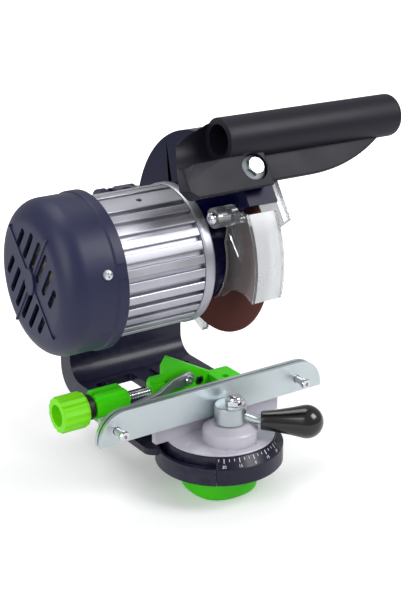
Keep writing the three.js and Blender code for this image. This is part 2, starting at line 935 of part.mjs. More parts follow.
function wheelCasing() {
  const inner = casingRadius - casingWall;
  const wallRight = casingLeftX + casingWall;
  const drum = casingDrum(casingRadius, casingLeftX, casingRightX, 0);
  const hollow = casingDrum(inner, wallRight, casingRightX + overrun, casingWall);
  const shell = common(cut(drum, hollow), casingWindow(casingLeftX - overrun, casingRightX + overrun));
  const neckLeft = frontShieldRight + seatGap;
  const neck = rod('x', neckDiameter, neckLeft, wallRight, 0, 0, fineSteps);
  const saddle = plate('x', sector(neckDiameter / 2 - neckWall, saddleDiameter / 2, saddleFrom, saddleTo,
    12), neckLeft, wallRight);
  const neckBore = rod('x', neckDiameter - 2 * neckWall, neckLeft - overrun, casingLeftX - casingWall, 0,
    0, plainSteps);
  const shaftHole = rod('x', flangeDiameter / 2 + 2 * neckWall, neckLeft, wallRight + overrun, 0, 0,
    plainSteps);
  const pivotLug = rod('x', guardBossDiameter, casingLeftX, wallRight, guardPivotY, guardPivotZ,
    smallSteps);
  const lugLink = plate('x', [
    [guardPivotY, guardPivotZ - guardBossDiameter / 2],
    [guardPivotY + guardBossDiameter, guardPivotZ - guardBossDiameter / 4],
    [guardPivotY + guardBossDiameter, guardPivotZ + 2 * guardBossDiameter],
    [guardPivotY - guardBossDiameter / 2, guardPivotZ + guardBossDiameter],
  ], casingLeftX, wallRight);
  const halfKnuckle = knuckleDiameter / 2;
  const drumEdge = Math.sqrt(inner * inner - armDeep * armDeep);
  const arm = plate('x', [
    [drumEdge, -armDeep],
    [hingeAlongY, hingeAlongZ - halfKnuckle],
    [hingeAlongY, hingeAlongZ + halfKnuckle],
    [drumEdge, armHigh],
  ], armLeftX, armRightX);
  const knuckle = rod('x', knuckleDiameter, armLeftX, armRightX, hingeAlongY, hingeAlongZ, plainSteps);
  const armInDrum = cut(join(arm, knuckle), casingDrum(inner, wallRight, casingRightX + overrun,
    casingWall));
  const pin = rod('x', hingePinDiameter + 2 * seatGap, armLeftX - overrun, armRightX + overrun,
    hingeAlongY, hingeAlongZ);
  const stopHole = rod('z', stopScrewDiameter + 2 * seatGap, -casingRadius, casingRadius, hingeCentreX,
    stopScrewY - axisY);
  const boss = rod('x', casingBossDiameter, casingLeftX, casingRightX, casingScrewCircle / 2, 0,
    screwSteps);
  const bosses = casingScrewAngles.map((angle) => turnedAbout(boss, alongX, angle));
  const bossTrim = casingDrum(casingRadius, casingLeftX, casingRightX, 0);
  const inside = bosses.map((piece) => common(piece, bossTrim));
  const nutPad = common(onFacet(rod('z', handleNutPad, handleNutSeat, facetDistance, handleBoltX,
    handleBoltAlong)), bossTrim);
  const nutPocket = onFacet(plate('z', ring(handleNutAcrossFlats / Math.sqrt(3) + seatGap, 6, handleBoltX,
    handleBoltAlong, handleNutTurn), handleNutSeat - 2 * handleNutThickness, handleNutSeat));
  const whole = join(shell, neck, saddle, pivotLug, lugLink, armInDrum, nutPad, ...inside);
  return cut(whole, neckBore, shaftHole, pin, stopHole, springPocket(), nutPocket,
    ...casingHoles(casingScrewDiameter, casingLeftX + casingWall, casingRightX + overrun),
    handleBoltHole(handleBoltDiameter + 2 * seatGap, 0, facetDistance + overrun),
    rod('x', guardBoltDiameter + 2 * seatGap, casingLeftX - overrun, wallRight + overrun, guardPivotY,
      guardPivotZ));
}

function sideCover() {
  const left = casingRightX + seatGap;
  const right = left + sideCoverDepth;
  const inward = sideCoverWall;
  const outline = (inset) => [
    ...arc(casingRadius - inset, sideCoverRearAngle + inset / 2, facetAngle + 9, 34),
    ...arc(sideCoverHub / 2 + inset, facetAngle + 25, fullTurn + sideCoverRearAngle + inset / 2, 12),
  ];
  const trimmed = (low, high, inset) => common(common(plate('x', outline(inset), low, high),
    halfSpace(facetAngle, facetDistance - inset, low - overrun, high + overrun)),
  halfSpace(handleFlatAngle, handleFlatDistance - inset, low - overrun, high + overrun));
  const solid = trimmed(left, right, 0);
  const dish = cut(solid, trimmed(left - overrun, right - inward, inward));
  const boss = rod('x', casingBossDiameter, left, right, casingScrewCircle / 2, 0, screwSteps);
  const bosses = casingScrewAngles.map((angle) => common(turnedAbout(boss, alongX, angle), solid));
  return cut(join(dish, ...bosses), ...casingHoles(casingScrewDiameter + 2 * seatGap, left - overrun,
    right + overrun));
}

function casingScrew(angle) {
  const face = casingRightX + sideCoverDepth + 2 * seatGap;
  const height = casingScrewDiameter / 2;
  const length = casingScrewDiameter * 4;
  const screw = turned('x', [
    [0, face - length],
    [casingScrewDiameter / 2 - seatGap, face - length],
    [casingScrewDiameter / 2 - seatGap, face],
    [casingScrewDiameter, face],
    [casingScrewDiameter, face + height / 2],
    [casingScrewDiameter * 0.7, face + height],
    [0, face + height],
  ], screwSteps);
  return turnedAbout(moved(screw, 0, casingScrewCircle / 2, 0), alongX, angle);
}

// Handle: a hollow tube, a web under it and the block that bolts to the casing's facet

function facetPoint(x, distance, along) {
  return new THREE.Vector3(x, along, distance);
}

function handle() {
  const half = tubeDiameter / 2;
  const low = tubeAlongFacet - half;
  const footRise = blockCorner - seatGap;
  const shoulderX = tubeLeftX - blockCorner - seatGap;
  const seat = facetDistance + seatGap;
  const hull = onFacet(new ConvexGeometry([
    facetPoint(blockRightX, blockFace, blockFoot),
    facetPoint(blockLeftX + blockCorner, blockFace, blockFoot),
    facetPoint(blockLeftX, blockFace, blockFoot + footRise),
    facetPoint(blockLeftX, blockFace, blockShoulder),
    facetPoint(shoulderX, blockFace, low),
    facetPoint(blockRightX, blockFace, low),
    facetPoint(blockRightX, seat, blockFoot + footRise),
    facetPoint(blockRightX, seat, tubeAlongFacet),
    facetPoint(blockLeftX + 2 * blockCorner, blockBack, blockFoot + footRise),
    facetPoint(blockLeftX + blockCorner / 2, blockBack + blockCorner, blockShoulder),
    facetPoint(blockLeftX + half - seatGap, blockBack, tubeAlongFacet + half / 2),
    facetPoint(tubeLeftX, blockBack, tubeAlongFacet + half - seatGap),
    facetPoint(tubeLeftX, tubeFromAxis, tubeAlongFacet + half - runGap),
    facetPoint(casingLeftX - runGap, blockBack, blockFoot + footRise),
  ]));
  const scoop = onFacet(rod('x', tubeDiameter + seatGap, blockLeftX - overrun, tubeLeftX,
    tubeAlongFacet, tubeFromAxis, plainSteps));
  const round = arc(tubeEndRound, 90, 0, 4, tubeRightX - tubeEndRound, half - tubeEndRound);
  const grip = turned('x', [
    [0, tubeLeftX],
    [half, tubeLeftX],
    ...round.map(([x, r]) => [r, x]),
    [0, tubeRightX],
  ], plainSteps).translate(0, tubeAlongFacet, tubeFromAxis);
  const bore = rod('x', tubeBore, tubeLeftX - overrun, tubeRightX - tubeEndWall, tubeAlongFacet,
    tubeFromAxis, plainSteps);
  const lowerEdge = new THREE.QuadraticBezierCurve(
    new THREE.Vector2(tubeRightX / 3, blockFoot + blockCorner - runGap),
    new THREE.Vector2(tubeRightX * 0.68, blockFoot + blockCorner),
    new THREE.Vector2(tubeRightX - tubeEndRound, low + 2 * tubeEndRound),
  ).getPoints(6).map((point) => [point.x, point.y]);
  const web = plate('z', [
    [blockRightX - blockCorner, blockFoot + blockCorner - runGap],
    ...lowerEdge,
    [tubeRightX - 2 * tubeEndRound, tubeAlongFacet],
    [blockRightX - blockCorner, tubeAlongFacet],
  ], webFace - webThickness, webFace);
  const outside = join(cut(hull, scoop), onFacet(grip), onFacet(web));
  const casingSpace = casingDrum(casingRadius + seatGap, casingLeftX - runGap,
    casingRightX + sideCoverDepth + runGap, -seatGap);
  const counterbore = onFacet(rod('z', counterboreDiameter, blockFace - counterboreDepth,
    blockFace + overrun, handleBoltX, handleBoltAlong, smallSteps));
  return cut(outside, onFacet(bore), casingSpace, counterbore,
    handleBoltHole(handleBoltDiameter + 2 * seatGap, 0, blockFace + overrun));
}

function handleBolt() {
  const floor = blockFace - counterboreDepth + seatGap;
  const flange = 2;
  const washer = turned('z', [
    [0, floor],
    [handleBoltFlange / 2, floor],
    [handleBoltFlange / 2, floor + flange / 2],
    [handleBoltAcrossFlats / 2, floor + flange],
    [0, floor + flange],
  ], plainSteps).translate(handleBoltX, handleBoltAlong, 0);
  const hex = plate('z', hexagon(handleBoltAcrossFlats, handleBoltX, handleBoltAlong), floor + flange / 2,
    floor + handleBoltHeadHeight);
  const shank = rod('z', handleBoltDiameter, handleNutSeat - handleNutThickness - flange,
    floor + flange / 2, handleBoltX, handleBoltAlong);
  return onFacet(join(washer, hex, shank));
}

function handleNut() {
  const top = handleNutSeat - seatGap;
  return onFacet(plate('z', ring(handleNutAcrossFlats / Math.sqrt(3), 6, handleBoltX, handleBoltAlong, handleNutTurn),
    top - handleNutThickness, top, [ring(handleBoltDiameter / 2 + seatGap, smallSteps, handleBoltX,
      handleBoltAlong)]));
}

// Clear guard that swings about the bolt beside the motor

function clearGuard() {
  const plateLeft = casingLeftX - seatGap - guardPlate;
  const plateRight = casingLeftX - seatGap;
  const rimFrom = facetAngle + guardRimStart;
  const rimTo = guardRimEnd;
  const rimInner = guardRadius - guardWall;
  const rim = plate('x', sector(rimInner, guardRadius, rimFrom, rimTo, 14), plateLeft, guardRightX);
  const sweep = [
    ...arc(guardRadius, rimFrom, rimTo, 14),
    [-0.84 * guardRadius, -0.235 * guardRadius],
    [-0.64 * guardRadius, -0.245 * guardRadius],
    [-0.5 * guardRadius, -0.34 * guardRadius],
    [-0.35 * guardRadius, -0.42 * guardRadius],
  ];
  const left = plate('x', [
    ...sweep,
    ...arc(guardInnerRadius, guardTailFrom, guardTailTo, 10),
    [guardPivotY + guardBossDiameter / 4, guardPivotZ - guardBossDiameter / 2],
    [guardPivotY + guardBossDiameter / 4, guardPivotZ + guardBossDiameter / 3],
  ], plateLeft, plateRight);
  const right = plate('x', [
    ...arc(guardRadius, rimFrom, rimTo, 14),
    ...arc(guardRadius * 0.86, rimTo, rimFrom, 14),
  ], guardRightX - guardPlate, guardRightX);
  const boss = rod('x', guardBossDiameter, plateRight - guardBossLength, plateRight, guardPivotY,
    guardPivotZ, smallSteps);
  const armTop = [guardRadius * Math.cos((rimFrom + 1) * degree), guardRadius * Math.sin((rimFrom + 1)
    * degree)];
  const armRib = plate('x', [
    [guardPivotY, guardPivotZ - guardRib],
    [guardPivotY, guardPivotZ + guardRib],
    [armTop[0] + guardRib, armTop[1]],
    [armTop[0] + guardRib, armTop[1] - 2 * guardRib],
  ], plateLeft - guardRibRise, plateRight);
  const gusset = plate('x', [
    [guardPivotY - guardBossDiameter / 3, guardPivotZ - guardBossDiameter / 3],
    [guardPivotY + guardBossDiameter / 3, guardPivotZ - guardBossDiameter / 3],
    [guardPivotY - guardBossDiameter, guardPivotZ - 2 * guardBossDiameter],
  ], plateLeft - guardRibRise / 2, plateRight);
  const bolt = rod('x', guardBoltDiameter + 2 * seatGap, plateRight - guardBossLength - overrun,
    plateRight + overrun, guardPivotY, guardPivotZ);
  return cut(join(rim, left, right, boss, armRib, gusset), bolt);
}

function guardBolt() {
  const left = casingLeftX - 2 * seatGap - guardBossLength;
  const head1 = turned('x', [
    [0, left - guardBoltHead / 3],
    [guardBoltHead / 3, left - guardBoltHead / 3],
    [guardBoltHead / 2, left - guardBoltHead / 6],
    [guardBoltHead / 2, left],
    [guardBoltDiameter / 2, left],
    [guardBoltDiameter / 2, casingLeftX + casingWall + guardBoltDiameter],
    [0, casingLeftX + casingWall + guardBoltDiameter],
  ], smallSteps);
  return moved(head1, 0, guardPivotY, guardPivotZ);
}

function guardNut() {
  const left = casingLeftX + casingWall + seatGap;
  return plate('x', hexagon(guardBossDiameter / 2, guardPivotY, guardPivotZ), left,
    left + guardBoltDiameter * 0.8,
    [ring(guardBoltDiameter / 2 + seatGap, screwSteps, guardPivotY, guardPivotZ)]);
}

// Hinge, spring and depth stop

const earLeftX = armLeftX - earGap - earThickness;
const earRightX = armRightX + earGap + earThickness;

function hingePin() {
  const pinHead = hingePinDiameter * 1.6;
  const headLeft = earLeftX - seatGap - hingePinDiameter / 2;
  const right = earRightX + hingeNutThickness + seatGap + 1 * runGap;
  return moved(turned('x', [
    [0, headLeft],
    [pinHead / 2, headLeft],
    [pinHead / 2, earLeftX - seatGap],
    [hingePinDiameter / 2, earLeftX - seatGap],
    [hingePinDiameter / 2, right],
    [0, right],
  ], smallSteps), 0, hingeAlongY, hingeAlongZ);
}

function hingeNut() {
  const left = earRightX + seatGap;
  return plate('x', hexagon(hingeNutAcrossFlats, hingeAlongY, hingeAlongZ), left,
    left + hingeNutThickness, [ring(hingePinDiameter / 2 + seatGap, smallSteps, hingeAlongY,
      hingeAlongZ)]);
}

// The pocket beside the knuckle that holds the spring, with a groove for its leg in the arm.
function springPocket() {
  const low = armLeftX - overrun;
  const high = armLeftX + springPocketWidth;
  const round = tube('x', springPocketDiameter, springHubDiameter, low, high, hingeAlongY, hingeAlongZ);
  const middle = hingeAlongZ + (springOuter - springWire) / 2;
  const half = springWire / 2 + seatGap;
  const groove = block(low, armLeftX + 2 * springWire, hingeAlongY - springLeg - seatGap, hingeAlongY,
    middle - half, middle + half);
  return join(round, groove);
}

// The torsion spring's coil as a sleeve, with a leg in the arm and a leg down to the base.
function returnSpring() {
  const left = armLeftX + runGap;
  const right = left + springWidth;
  const coil = tube('x', springOuter, springOuter - 2 * springWire, left, right, hingeAlongY,
    hingeAlongZ);
  const middle = (springOuter - springWire) / 2;
  const armLeg = rod('y', springWire, hingeAlongY - springLeg, hingeAlongY, left + springWire / 2,
    hingeAlongZ + middle, screwSteps);
  const baseLeg = rod('z', springWire, hingeAlongZ - knuckleDiameter + seatGap, hingeAlongZ,
    right - springWire / 2, hingeAlongY + middle, screwSteps);
  return join(coil, armLeg, baseLeg);
}

// A set screw in the arm, with a socket in its top end, that meets the ledge of the base.
function depthStopScrew() {
  const top = stopScrewTop - axisZ;
  const shank = rod('z', stopScrewDiameter, top - stopScrewLength, top, hingeCentreX,
    stopScrewY - axisY);
  const socket = plate('z', hexagon(stopScrewDiameter / 2, hingeCentreX, stopScrewY - axisY),
    top - stopScrewDiameter / 2, top + overrun);
  return cut(shank, socket);
}

// Base bracket

function baseProfile(inset) {
  const front = baseShoulderY;
  const floor = baseFloorTop - inset;
  const wall = baseWallFront + inset;
  const fillet = baseInnerFillet + inset;
  return { front, floor, wall, fillet };
}

const baseBack = baseWallFront + baseFlangeDepth;
const baseTop = hingeZ;
const halfBase = baseWidth / 2;

// Seen from the side: floor, inner fillet and upright wall, with the flange depth behind them.
function baseSide(inset, back, bottom, round) {
  const { front, floor, wall, fillet } = baseProfile(inset);
  return [
    [front + inset, bottom],
    [back - round, bottom],
    ...arc(round, 270, 360, 6, back - round, bottom + round).slice(1),
    [back, baseTop],
    [wall, baseTop],
    ...arc(fillet, 0, -90, 6, wall - fillet, floor + fillet),
    [front + inset, floor],
  ];
}

// Seen from the front: full width at the foot, drawn in to the fork at the top.
function baseFront(inset) {
  const half = halfBase - inset;
  const neckLeft = hingeCentreX - baseNeckHalf + inset;
  const neckRight = hingeCentreX + baseNeckHalf - inset;
  const round = baseNeckHalf / 2;
  return [
    [-half, seatBottom],
    [half, seatBottom],
    [half, baseTaperLow - round],
    [half - round / 3, baseTaperLow],
    [neckRight + round / 3, baseTaperHigh],
    [neckRight, baseTaperHigh + round],
    [neckRight, baseTop],
    [neckLeft, baseTop],
    [neckLeft, baseTaperHigh + round],
    [neckLeft - round / 3, baseTaperHigh],
    [-half + round / 3, baseTaperLow],
    [-half, baseTaperLow - round],
  ];
}

function baseBracket() {
  const outer = common(
    plate('x', baseSide(0, baseBack, 0, baseOuterRound), -halfBase, halfBase),
    plate('y', baseFront(0), 0, baseBack + overrun),
  );
  const cavity = common(
    plate('x', baseSide(baseShell, baseBack + overrun, -overrun, overrun), -halfBase, halfBase),
    plate('y', baseFront(baseShell), 0, baseBack + 2 * overrun),
  );
  const forkSlot = block(armLeftX - earGap, armRightX + earGap, baseWallFront - overrun,
    baseBack + overrun, stopLedgeZ, hingeZ + knuckleDiameter);
  const bracket = cut(outer, cavity, forkSlot);
  const ear = plate('x', [
    [baseWallFront, stopLedgeZ - baseShell],
    [baseBack, stopLedgeZ - baseShell],
    ...arc(earDiameter / 2, 0, 180, 10, hingeY, hingeZ),
  ], earLeftX, earLeftX + earThickness);
  const ears = [ear, moved(ear, earRightX - earThickness - earLeftX, 0, 0)];
  const crossWall = block(hingeCentreX - baseNeckHalf, hingeCentreX + baseNeckHalf, baseWallFront,
    baseBack, stopLedgeZ - baseShell, stopLedgeZ);
  const ledge = plate('x', [
    [baseWallFront + baseShell / 2, stopLedgeZ - 2 * baseShell],
    [baseWallFront + baseShell / 2, stopLedgeZ],
    [stopScrewY - baseShell, stopLedgeZ],
    [stopScrewY - baseShell, stopLedgeZ - baseShell],
  ], armLeftX, armRightX);
  const seat = rod('z', 2 * seatRadius, seatBottom, seatTop, 0, 0, fineSteps);
  const hornRound = seatRadius / 6;
  const horns = plate('z', [
    [-halfBase, baseHornY + hornRound],
    [-halfBase + hornRound, baseHornY],
    [-seatRingRadius, baseHornY - hornRound],
    [seatRingRadius, baseHornY - hornRound],
    [halfBase - hornRound, baseHornY],
    [halfBase, baseHornY + hornRound],
    [halfBase, baseShoulderY + baseShell],
    [-halfBase, baseShoulderY + baseShell],
  ], seatTop - baseShell, seatTop);
  const seatRing = rod('z', 2 * seatRingRadius, seatTop - overrun, seatRingTop, 0, 0, fineSteps);
  const belowFloor = common(block(-halfBase, halfBase, baseHornY, baseShoulderY + baseShell,
    seatTop - baseShell, baseFloorTop), block(-halfBase + 0, halfBase, baseShoulderY,
    baseShoulderY + baseShell, seatTop - baseShell, baseFloorTop));
  const footRib = block(-halfBase + overrun, halfBase - overrun, footRibY - footRibWidth / 2,
    footRibY + footRibWidth / 2, 0, baseFloorTop - overrun);
  const footBosses = [-1, 1].map((side) => rod('z', baseBossDiameter, 0, baseFloorTop - overrun,
    side * baseHoleX, baseHoleY, smallSteps));
  const footHoles = [-1, 1].map((side) => rod('z', baseHoleDiameter, -overrun, baseFloorTop + overrun,
    side * baseHoleX, baseHoleY, smallSteps));
  const lip = (side) => block(Math.min(side * (windowInner - windowLip), side * (windowOuter + windowLip)),
    Math.max(side * (windowInner - windowLip), side * (windowOuter + windowLip)),
    windowFront - windowLip, windowBack + windowLip, baseFloorTop - overrun, baseFloorTop + windowLip);
  const opening = (side) => block(Math.min(side * windowInner, side * windowOuter),
    Math.max(side * windowInner, side * windowOuter), windowFront, windowBack, -overrun,
    baseFloorTop + windowLip + overrun);
  const whole = join(bracket, ...ears, crossWall, ledge, seat, horns, seatRing, belowFloor, footRib,
    ...footBosses, lip(-1), lip(1));
  const pocket = rod('z', 2 * (seatPocketRadius + seatGap), seatPocketFloor, baseFloorTop + overrun, 0, 0,
    fineSteps);
  const studHole = rod('z', lockStudDiameter + 2 * seatGap, seatBottom - overrun, seatTop);
  const tableSpace = rod('z', 2 * (seatRingRadius + seatGap), seatRingTop, baseFloorTop + overrun, 0, 0,
    fineSteps);
  const scaleSpace = turnedSector(seatRingRadius - baseShell, seatRadius + overrun, scaleHalfAngle, 0,
    seatBottom - overrun, seatRingTop + overrun);
  const groove = crescentGroove();
  const pinHole = rod('x', hingePinDiameter + 2 * seatGap, earLeftX - overrun, earRightX + overrun,
    hingeY, hingeZ);
  return cut(whole, opening(-1), opening(1), ...footHoles, pocket, studHole, tableSpace, scaleSpace,
    groove, pinHole);
}

// Angles on the seat are measured from the front, -Y, positive towards +X.
function seatAngle(angle) {
  return angle - 90;
}

function turnedSector(inner, outer, halfAngle, middle, low, high) {
  return plate('z', sector(inner, outer, seatAngle(middle - halfAngle), seatAngle(middle + halfAngle),
    16), low, high);
}

// A groove beside the seat ring that narrows to nothing towards the front.
function crescentGroove() {
  const steps = 14;
  const inner = arc(seatRingRadius, seatAngle(slotFromAngle), seatAngle(slotToAngle), steps);
  const outer = inner.map(([x, y], i) => {
    const share = i / steps;
    const width = (seatRadius - seatRingRadius) * (0.15 + 0.55 * share);
    const reach = (seatRingRadius + width) / seatRingRadius;
    return [x * reach, y * reach];
  });
  return plate('z', [...inner, ...outer.reverse()], seatTop - slotDepth, seatRingTop);
}

function angleScale() {
  const inner = seatRingRadius - baseShell + seatGap;
  const lowEdge = seatTop - seatGap;
  const half = scaleHalfAngle - (seatGap / seatRadius) / degree;
  const body = turned('z', [
    [inner, seatBottom],
    [seatRadius, seatBottom],
    [seatRadius, lowEdge],
    [seatRingRadius, seatRingTop],
    [inner, seatRingTop],
  ], fineSteps);
  const wedge = turnedSector(inner - overrun, seatRadius + overrun, half, 0, seatBottom - overrun,
    seatRingTop + overrun);
  return common(body, wedge);
}

// Swivel table with the upright web and rail of the vise

function swivelTable() {
  const under = seatRingTop + seatGap;
  const spigot = seatPocketRadius - seatGap;
  const disc = turned('z', [
    [0, seatPocketFloor + seatGap],
    [spigot, seatPocketFloor + seatGap],
    [spigot, under],
    [tableRadius, under],
    [tableRadius, tableTop],
    [hubRadius + overrun, hubHeight - 2 * panelDepth],
    [hubRadius, hubHeight],
    [0, hubHeight],
  ], fineSteps);
  const slope = (hubHeight - 2 * panelDepth - tableTop) / (tableRadius - hubRadius - overrun);
  const panelFloor = (radius) => tableTop + (tableRadius - radius) * slope - panelDepth;
  const panelTool = turned('z', [
    [panelInner, panelFloor(panelInner)],
    [panelOuter, panelFloor(panelOuter)],
    [panelOuter, hubHeight + overrun],
    [panelInner, hubHeight + overrun],
  ], fineSteps);
  const panels = [[-51, 27], [0, 15], [51, 27]].map(([middle, half]) => common(panelTool,
    turnedSector(hubRadius, tableRadius, half, middle, seatBottom, hubHeight + 2 * overrun)));
  const web = plate('y', [
    [webLeftX, webBottom + overrun],
    [-tableRadius, webBottom + overrun],
    [-tableRadius + overrun, tableTop],
    [tableRadius - overrun, tableTop],
    [tableRadius, webBottom + overrun],
    [webRightX, webBottom + overrun],
    [webRightX, railTop],
    [webLeftX, railTop],
  ], railFront, railBack);
  const rail = block(railLeftX, railRightX, railFront, railBack, railBottom, railTop);
  const camHole = rod('z', camBoltDiameter + 2 * seatGap, tableTop - 3 * overrun, camBottom + overrun, camX,
    camY);
  const camSeatTop = camBottom - seatGap;
  const camSeat = turned('z', [
    [0, tableTop],
    [camBossRadius, tableTop],
    [camBossRadius, camSeatTop - camBossDrop],
    [camBossRadius - camBossChamfer, camSeatTop],
    [0, camSeatTop],
  ], plainSteps).translate(...camCentre(), 0);
  const studHole = rod('z', lockStudDiameter + 2 * seatGap, seatPocketFloor - overrun, tableTop);
  const guides = [guideLeftX, guideRightX].map((x) => rod('y', guideDiameter + 2 * seatGap,
    railFront - overrun, railBack + overrun, x, guideZ));
  const blockHole = rod('y', stopBlockScrew + 2 * seatGap, railFront - overrun, railBack + overrun,
    stopBlockScrewX, stopBlockScrewZ, screwSteps);
  return cut(join(cut(disc, ...panels), camSeat, web, rail), camHole, studHole, ...guides, blockHole);
}

function tableStud() {
  return turned('z', [
    [0, lockKnobTop - lockKnobHeight + 2 * overrun],
    [lockStudDiameter / 2, lockKnobTop - lockKnobHeight + 2 * overrun],
    [lockStudDiameter / 2, tableTop - overrun],
    [0, tableTop - overrun],
  ], smallSteps);
}

function jawOutline(holes) {
  const cornerSteps = 7;
  return [
    [jawLeftX, jawBottom],
    [jawRightX, jawBottom],
    ...arc(jawCorner, 0, 90, cornerSteps, jawRightX - jawCorner, jawTop - jawCorner),
    ...arc(jawCorner, 90, 180, cornerSteps, jawLeftX + jawCorner, jawTop - jawCorner),
  ];
}

function jaw(front, hole) {
  const holes = [guideLeftX, guideRightX].map((x) => ring(hole / 2, smallSteps, x, guideZ));
  return plate('y', jawOutline(), front, front + jawThickness, holes);
}

function guideScrew(x) {
  const headBack = frontJawFront - guideProud;
  const screw = turned('z', [
    [0, -railBack],
    [guideDiameter / 2, -railBack],
    [guideDiameter / 2, -headBack],
    [guideHeadDiameter / 2, -headBack],
    [guideHeadDiameter / 2, -headBack + guideHeadHeight / 2],
    [guideHeadDiameter / 3, -headBack + guideHeadHeight],
    [0, -headBack + guideHeadHeight],
  ], smallSteps).rotateX(Math.PI / 2);
  return moved(screw, x, 0, guideZ);
}

// Cam clamp

// Middle of the round cam, which lies off the bolt that it turns on.
function camCentre() {
  return [camX + camThrow * Math.cos(camPhase * degree), camY + camThrow * Math.sin(camPhase * degree)];
}

function camHub() {
  const body = rod('z', 2 * camRadius, camBottom, camTop, ...camCentre(), plainSteps);
  const hole = rod('z', camBoltDiameter + 2 * seatGap, camBottom - overrun, camTop + overrun, camX, camY);
  return cut(body, hole, leverSocket());
}

// Turns a body drawn along +X from the cam's axis to the lever's direction.
function onLever(geometry) {
  return turnedAbout(geometry, alongZ, leverAngle).translate(camX, camY, leverZ);
}

const leverRodTilt = (leverRodDiameter / 2) * leverRise;
const leverRodStart = camBoltDiameter / 2 + 2 * seatGap + runGap + leverRodTilt;

// The inner part of the lever rises from the bend to the hub; along is counted from the bolt.
function risingRod(diameter, from, to) {
  const slope = Math.hypot(1, leverRise);
  const straight = rod('x', diameter, (from - leverBendReach) * slope, (to - leverBendReach) * slope);
  return straight.rotateY(Math.atan(leverRise)).translate(leverBendReach, 0, 0);
}

function leverSocket() {
  return onLever(risingRod(leverRodDiameter + 2 * seatGap, leverRodStart - seatGap, leverBendReach));
}

function leverRod() {
  const inner = risingRod(leverRodDiameter, leverRodStart, leverBendReach);
  const round = arc(leverRodDiameter / 2, 0, 180, 8).map(([x, r]) => [Math.max(r, 0), x]);
  const bend = turned('x', round, smallSteps).translate(leverBendReach, 0, 0);
  const outer = rod('x', leverRodDiameter, leverBendReach, leverRodReach + leverKnobStart);
  return onLever(join(outer, bend, inner));
}

function leverKnob() {
  const ball = leverBallDiameter / 2;
  const neck = leverKnobNeck / 2;
  const centre = leverKnobReach - ball;
  const bore = leverRodDiameter / 2 + seatGap;
  const boreEnd = leverRodReach + leverKnobStart + seatGap;
  return onLever(turned('x', [
    [bore, leverKnobStart],
    [neck - runGap, leverKnobStart],
    [neck, leverKnobStart + runGap],
    ...arc(ball, leverNeckAngle, 0, 9, centre, 0).map(([x, r]) => [Math.max(r, 0), x]),
    [0, boreEnd],
    [bore, boreEnd],
  ], smallSteps + 4));
}

function camBolt() {
  const across = acornAcrossFlats / 2;
  const nutBottom = camTop + seatGap;
  const nutHeight = acornHeight / 2;
  const dome = turned('z', [
    [0, nutBottom + nutHeight / 2],
    ...arc(across, 0, 90, 6).map(([r, z]) => [r, nutBottom + nutHeight + (z * acornHeight) / acornAcrossFlats
      / 1.3]),
  ], smallSteps).translate(camX, camY, 0);
  const hex = plate('z', hexagon(acornAcrossFlats, camX, camY), nutBottom, nutBottom + nutHeight);
  const shank = rod('z', camBoltDiameter, tableTop - 2 * overrun, nutBottom + nutHeight / 2, camX, camY);
  return join(dome, hex, shank);
}

// Chain stop

function lobedOutline(radius, lobes, dip, phase, y = 0, z = 0) {
  const steps = lobes * Math.max(4, 32 / lobes);
  return Array.from({ length: steps }, (_, i) => {
    const angle = (i / steps) * 2 * Math.PI;
    const wave = Math.cos(lobes * angle + phase);
    const reach = radius - (dip / 2) * (1 - wave);
    return [y + reach * Math.cos(angle), z + reach * Math.sin(angle)];
  });
}

function adjusterKnob() {
  const outline = lobedOutline(adjusterKnobDiameter / 2, adjusterLobes, runGap * 2, 0, adjusterY,
    adjusterZ);
  const body = plate('x', outline, adjusterKnobLeft, adjusterKnobRight);
  const hollow = rod('x', adjusterKnobBore, adjusterKnobLeft - overrun,
    adjusterKnobLeft + adjusterKnobHollow, adjusterY, adjusterZ);
  const hole = rod('x', adjusterDiameter + 2 * seatGap, adjusterKnobLeft, adjusterKnobRight + overrun,
    adjusterY, adjusterZ);
  return cut(body, hollow, hole);
}

function adjusterScrew() {
  return rod('x', adjusterDiameter, adjusterKnobLeft + adjusterKnobHollow - overrun, adjusterEndX,
    adjusterY, adjusterZ);
}

function adjusterCollar() {
  return tube('x', collarDiameter, adjusterDiameter + 2 * seatGap, collarLeft, collarRight, adjusterY,
    adjusterZ, smallSteps);
}

function stopBlock() {
  const finRound = finThickness;
  const profile = [
    [blockStopLeft, finFloor],
    [blockStopLeft, adjusterZ - adjusterDiameter],
    [blockStopLeft + finThickness, blockStopBottom + finThickness],
    [blockStopLeft + 2 * finThickness, blockStopBottom],
    [blockStopRight, blockStopBottom],
    [blockStopRight, finFloor],
  ];
  const body = plate('y', profile, blockStopFront, blockStopBack);
  const foot = block(blockStopLeft + 2 * finThickness, blockStopRight, railBack + seatGap,
    blockStopFront + overrun, blockStopBottom, blockFootTop);
  const finOutlineShape = [
    [blockStopLeft, finFloor - finThickness],
    [blockStopRight, finFloor - finThickness],
    ...arc(finRound / 2, 0, 90, 3, blockStopRight - finRound / 2, finTop - finRound / 2),
    ...arc(finRound / 2, 90, 180, 3, blockStopLeft + finRound / 2, finTop - finRound / 2),
  ];
  const frontFin = plate('y', finOutlineShape, adjusterY - finSpread / 2 - finThickness / 2,
    adjusterY - finSpread / 2 + finThickness / 2);
  const backFin = moved(frontFin, 0, finSpread, 0);
  const bore = rod('x', adjusterDiameter + 2 * seatGap, blockStopLeft - overrun,
    blockStopRight + overrun, adjusterY, adjusterZ);
  const screwHole = rod('y', stopBlockScrew + 2 * seatGap, railBack, blockStopFront + 2 * stopBlockScrew,
    stopBlockScrewX, stopBlockScrewZ, screwSteps);
  return cut(join(body, foot, frontFin, backFin), bore, screwHole);
}

function blockScrew() {
  return rod('y', stopBlockScrew, rearJawFront + jawThickness + 2 * seatGap,
    blockStopFront + stopBlockScrew, stopBlockScrewX, stopBlockScrewZ, screwSteps);
}

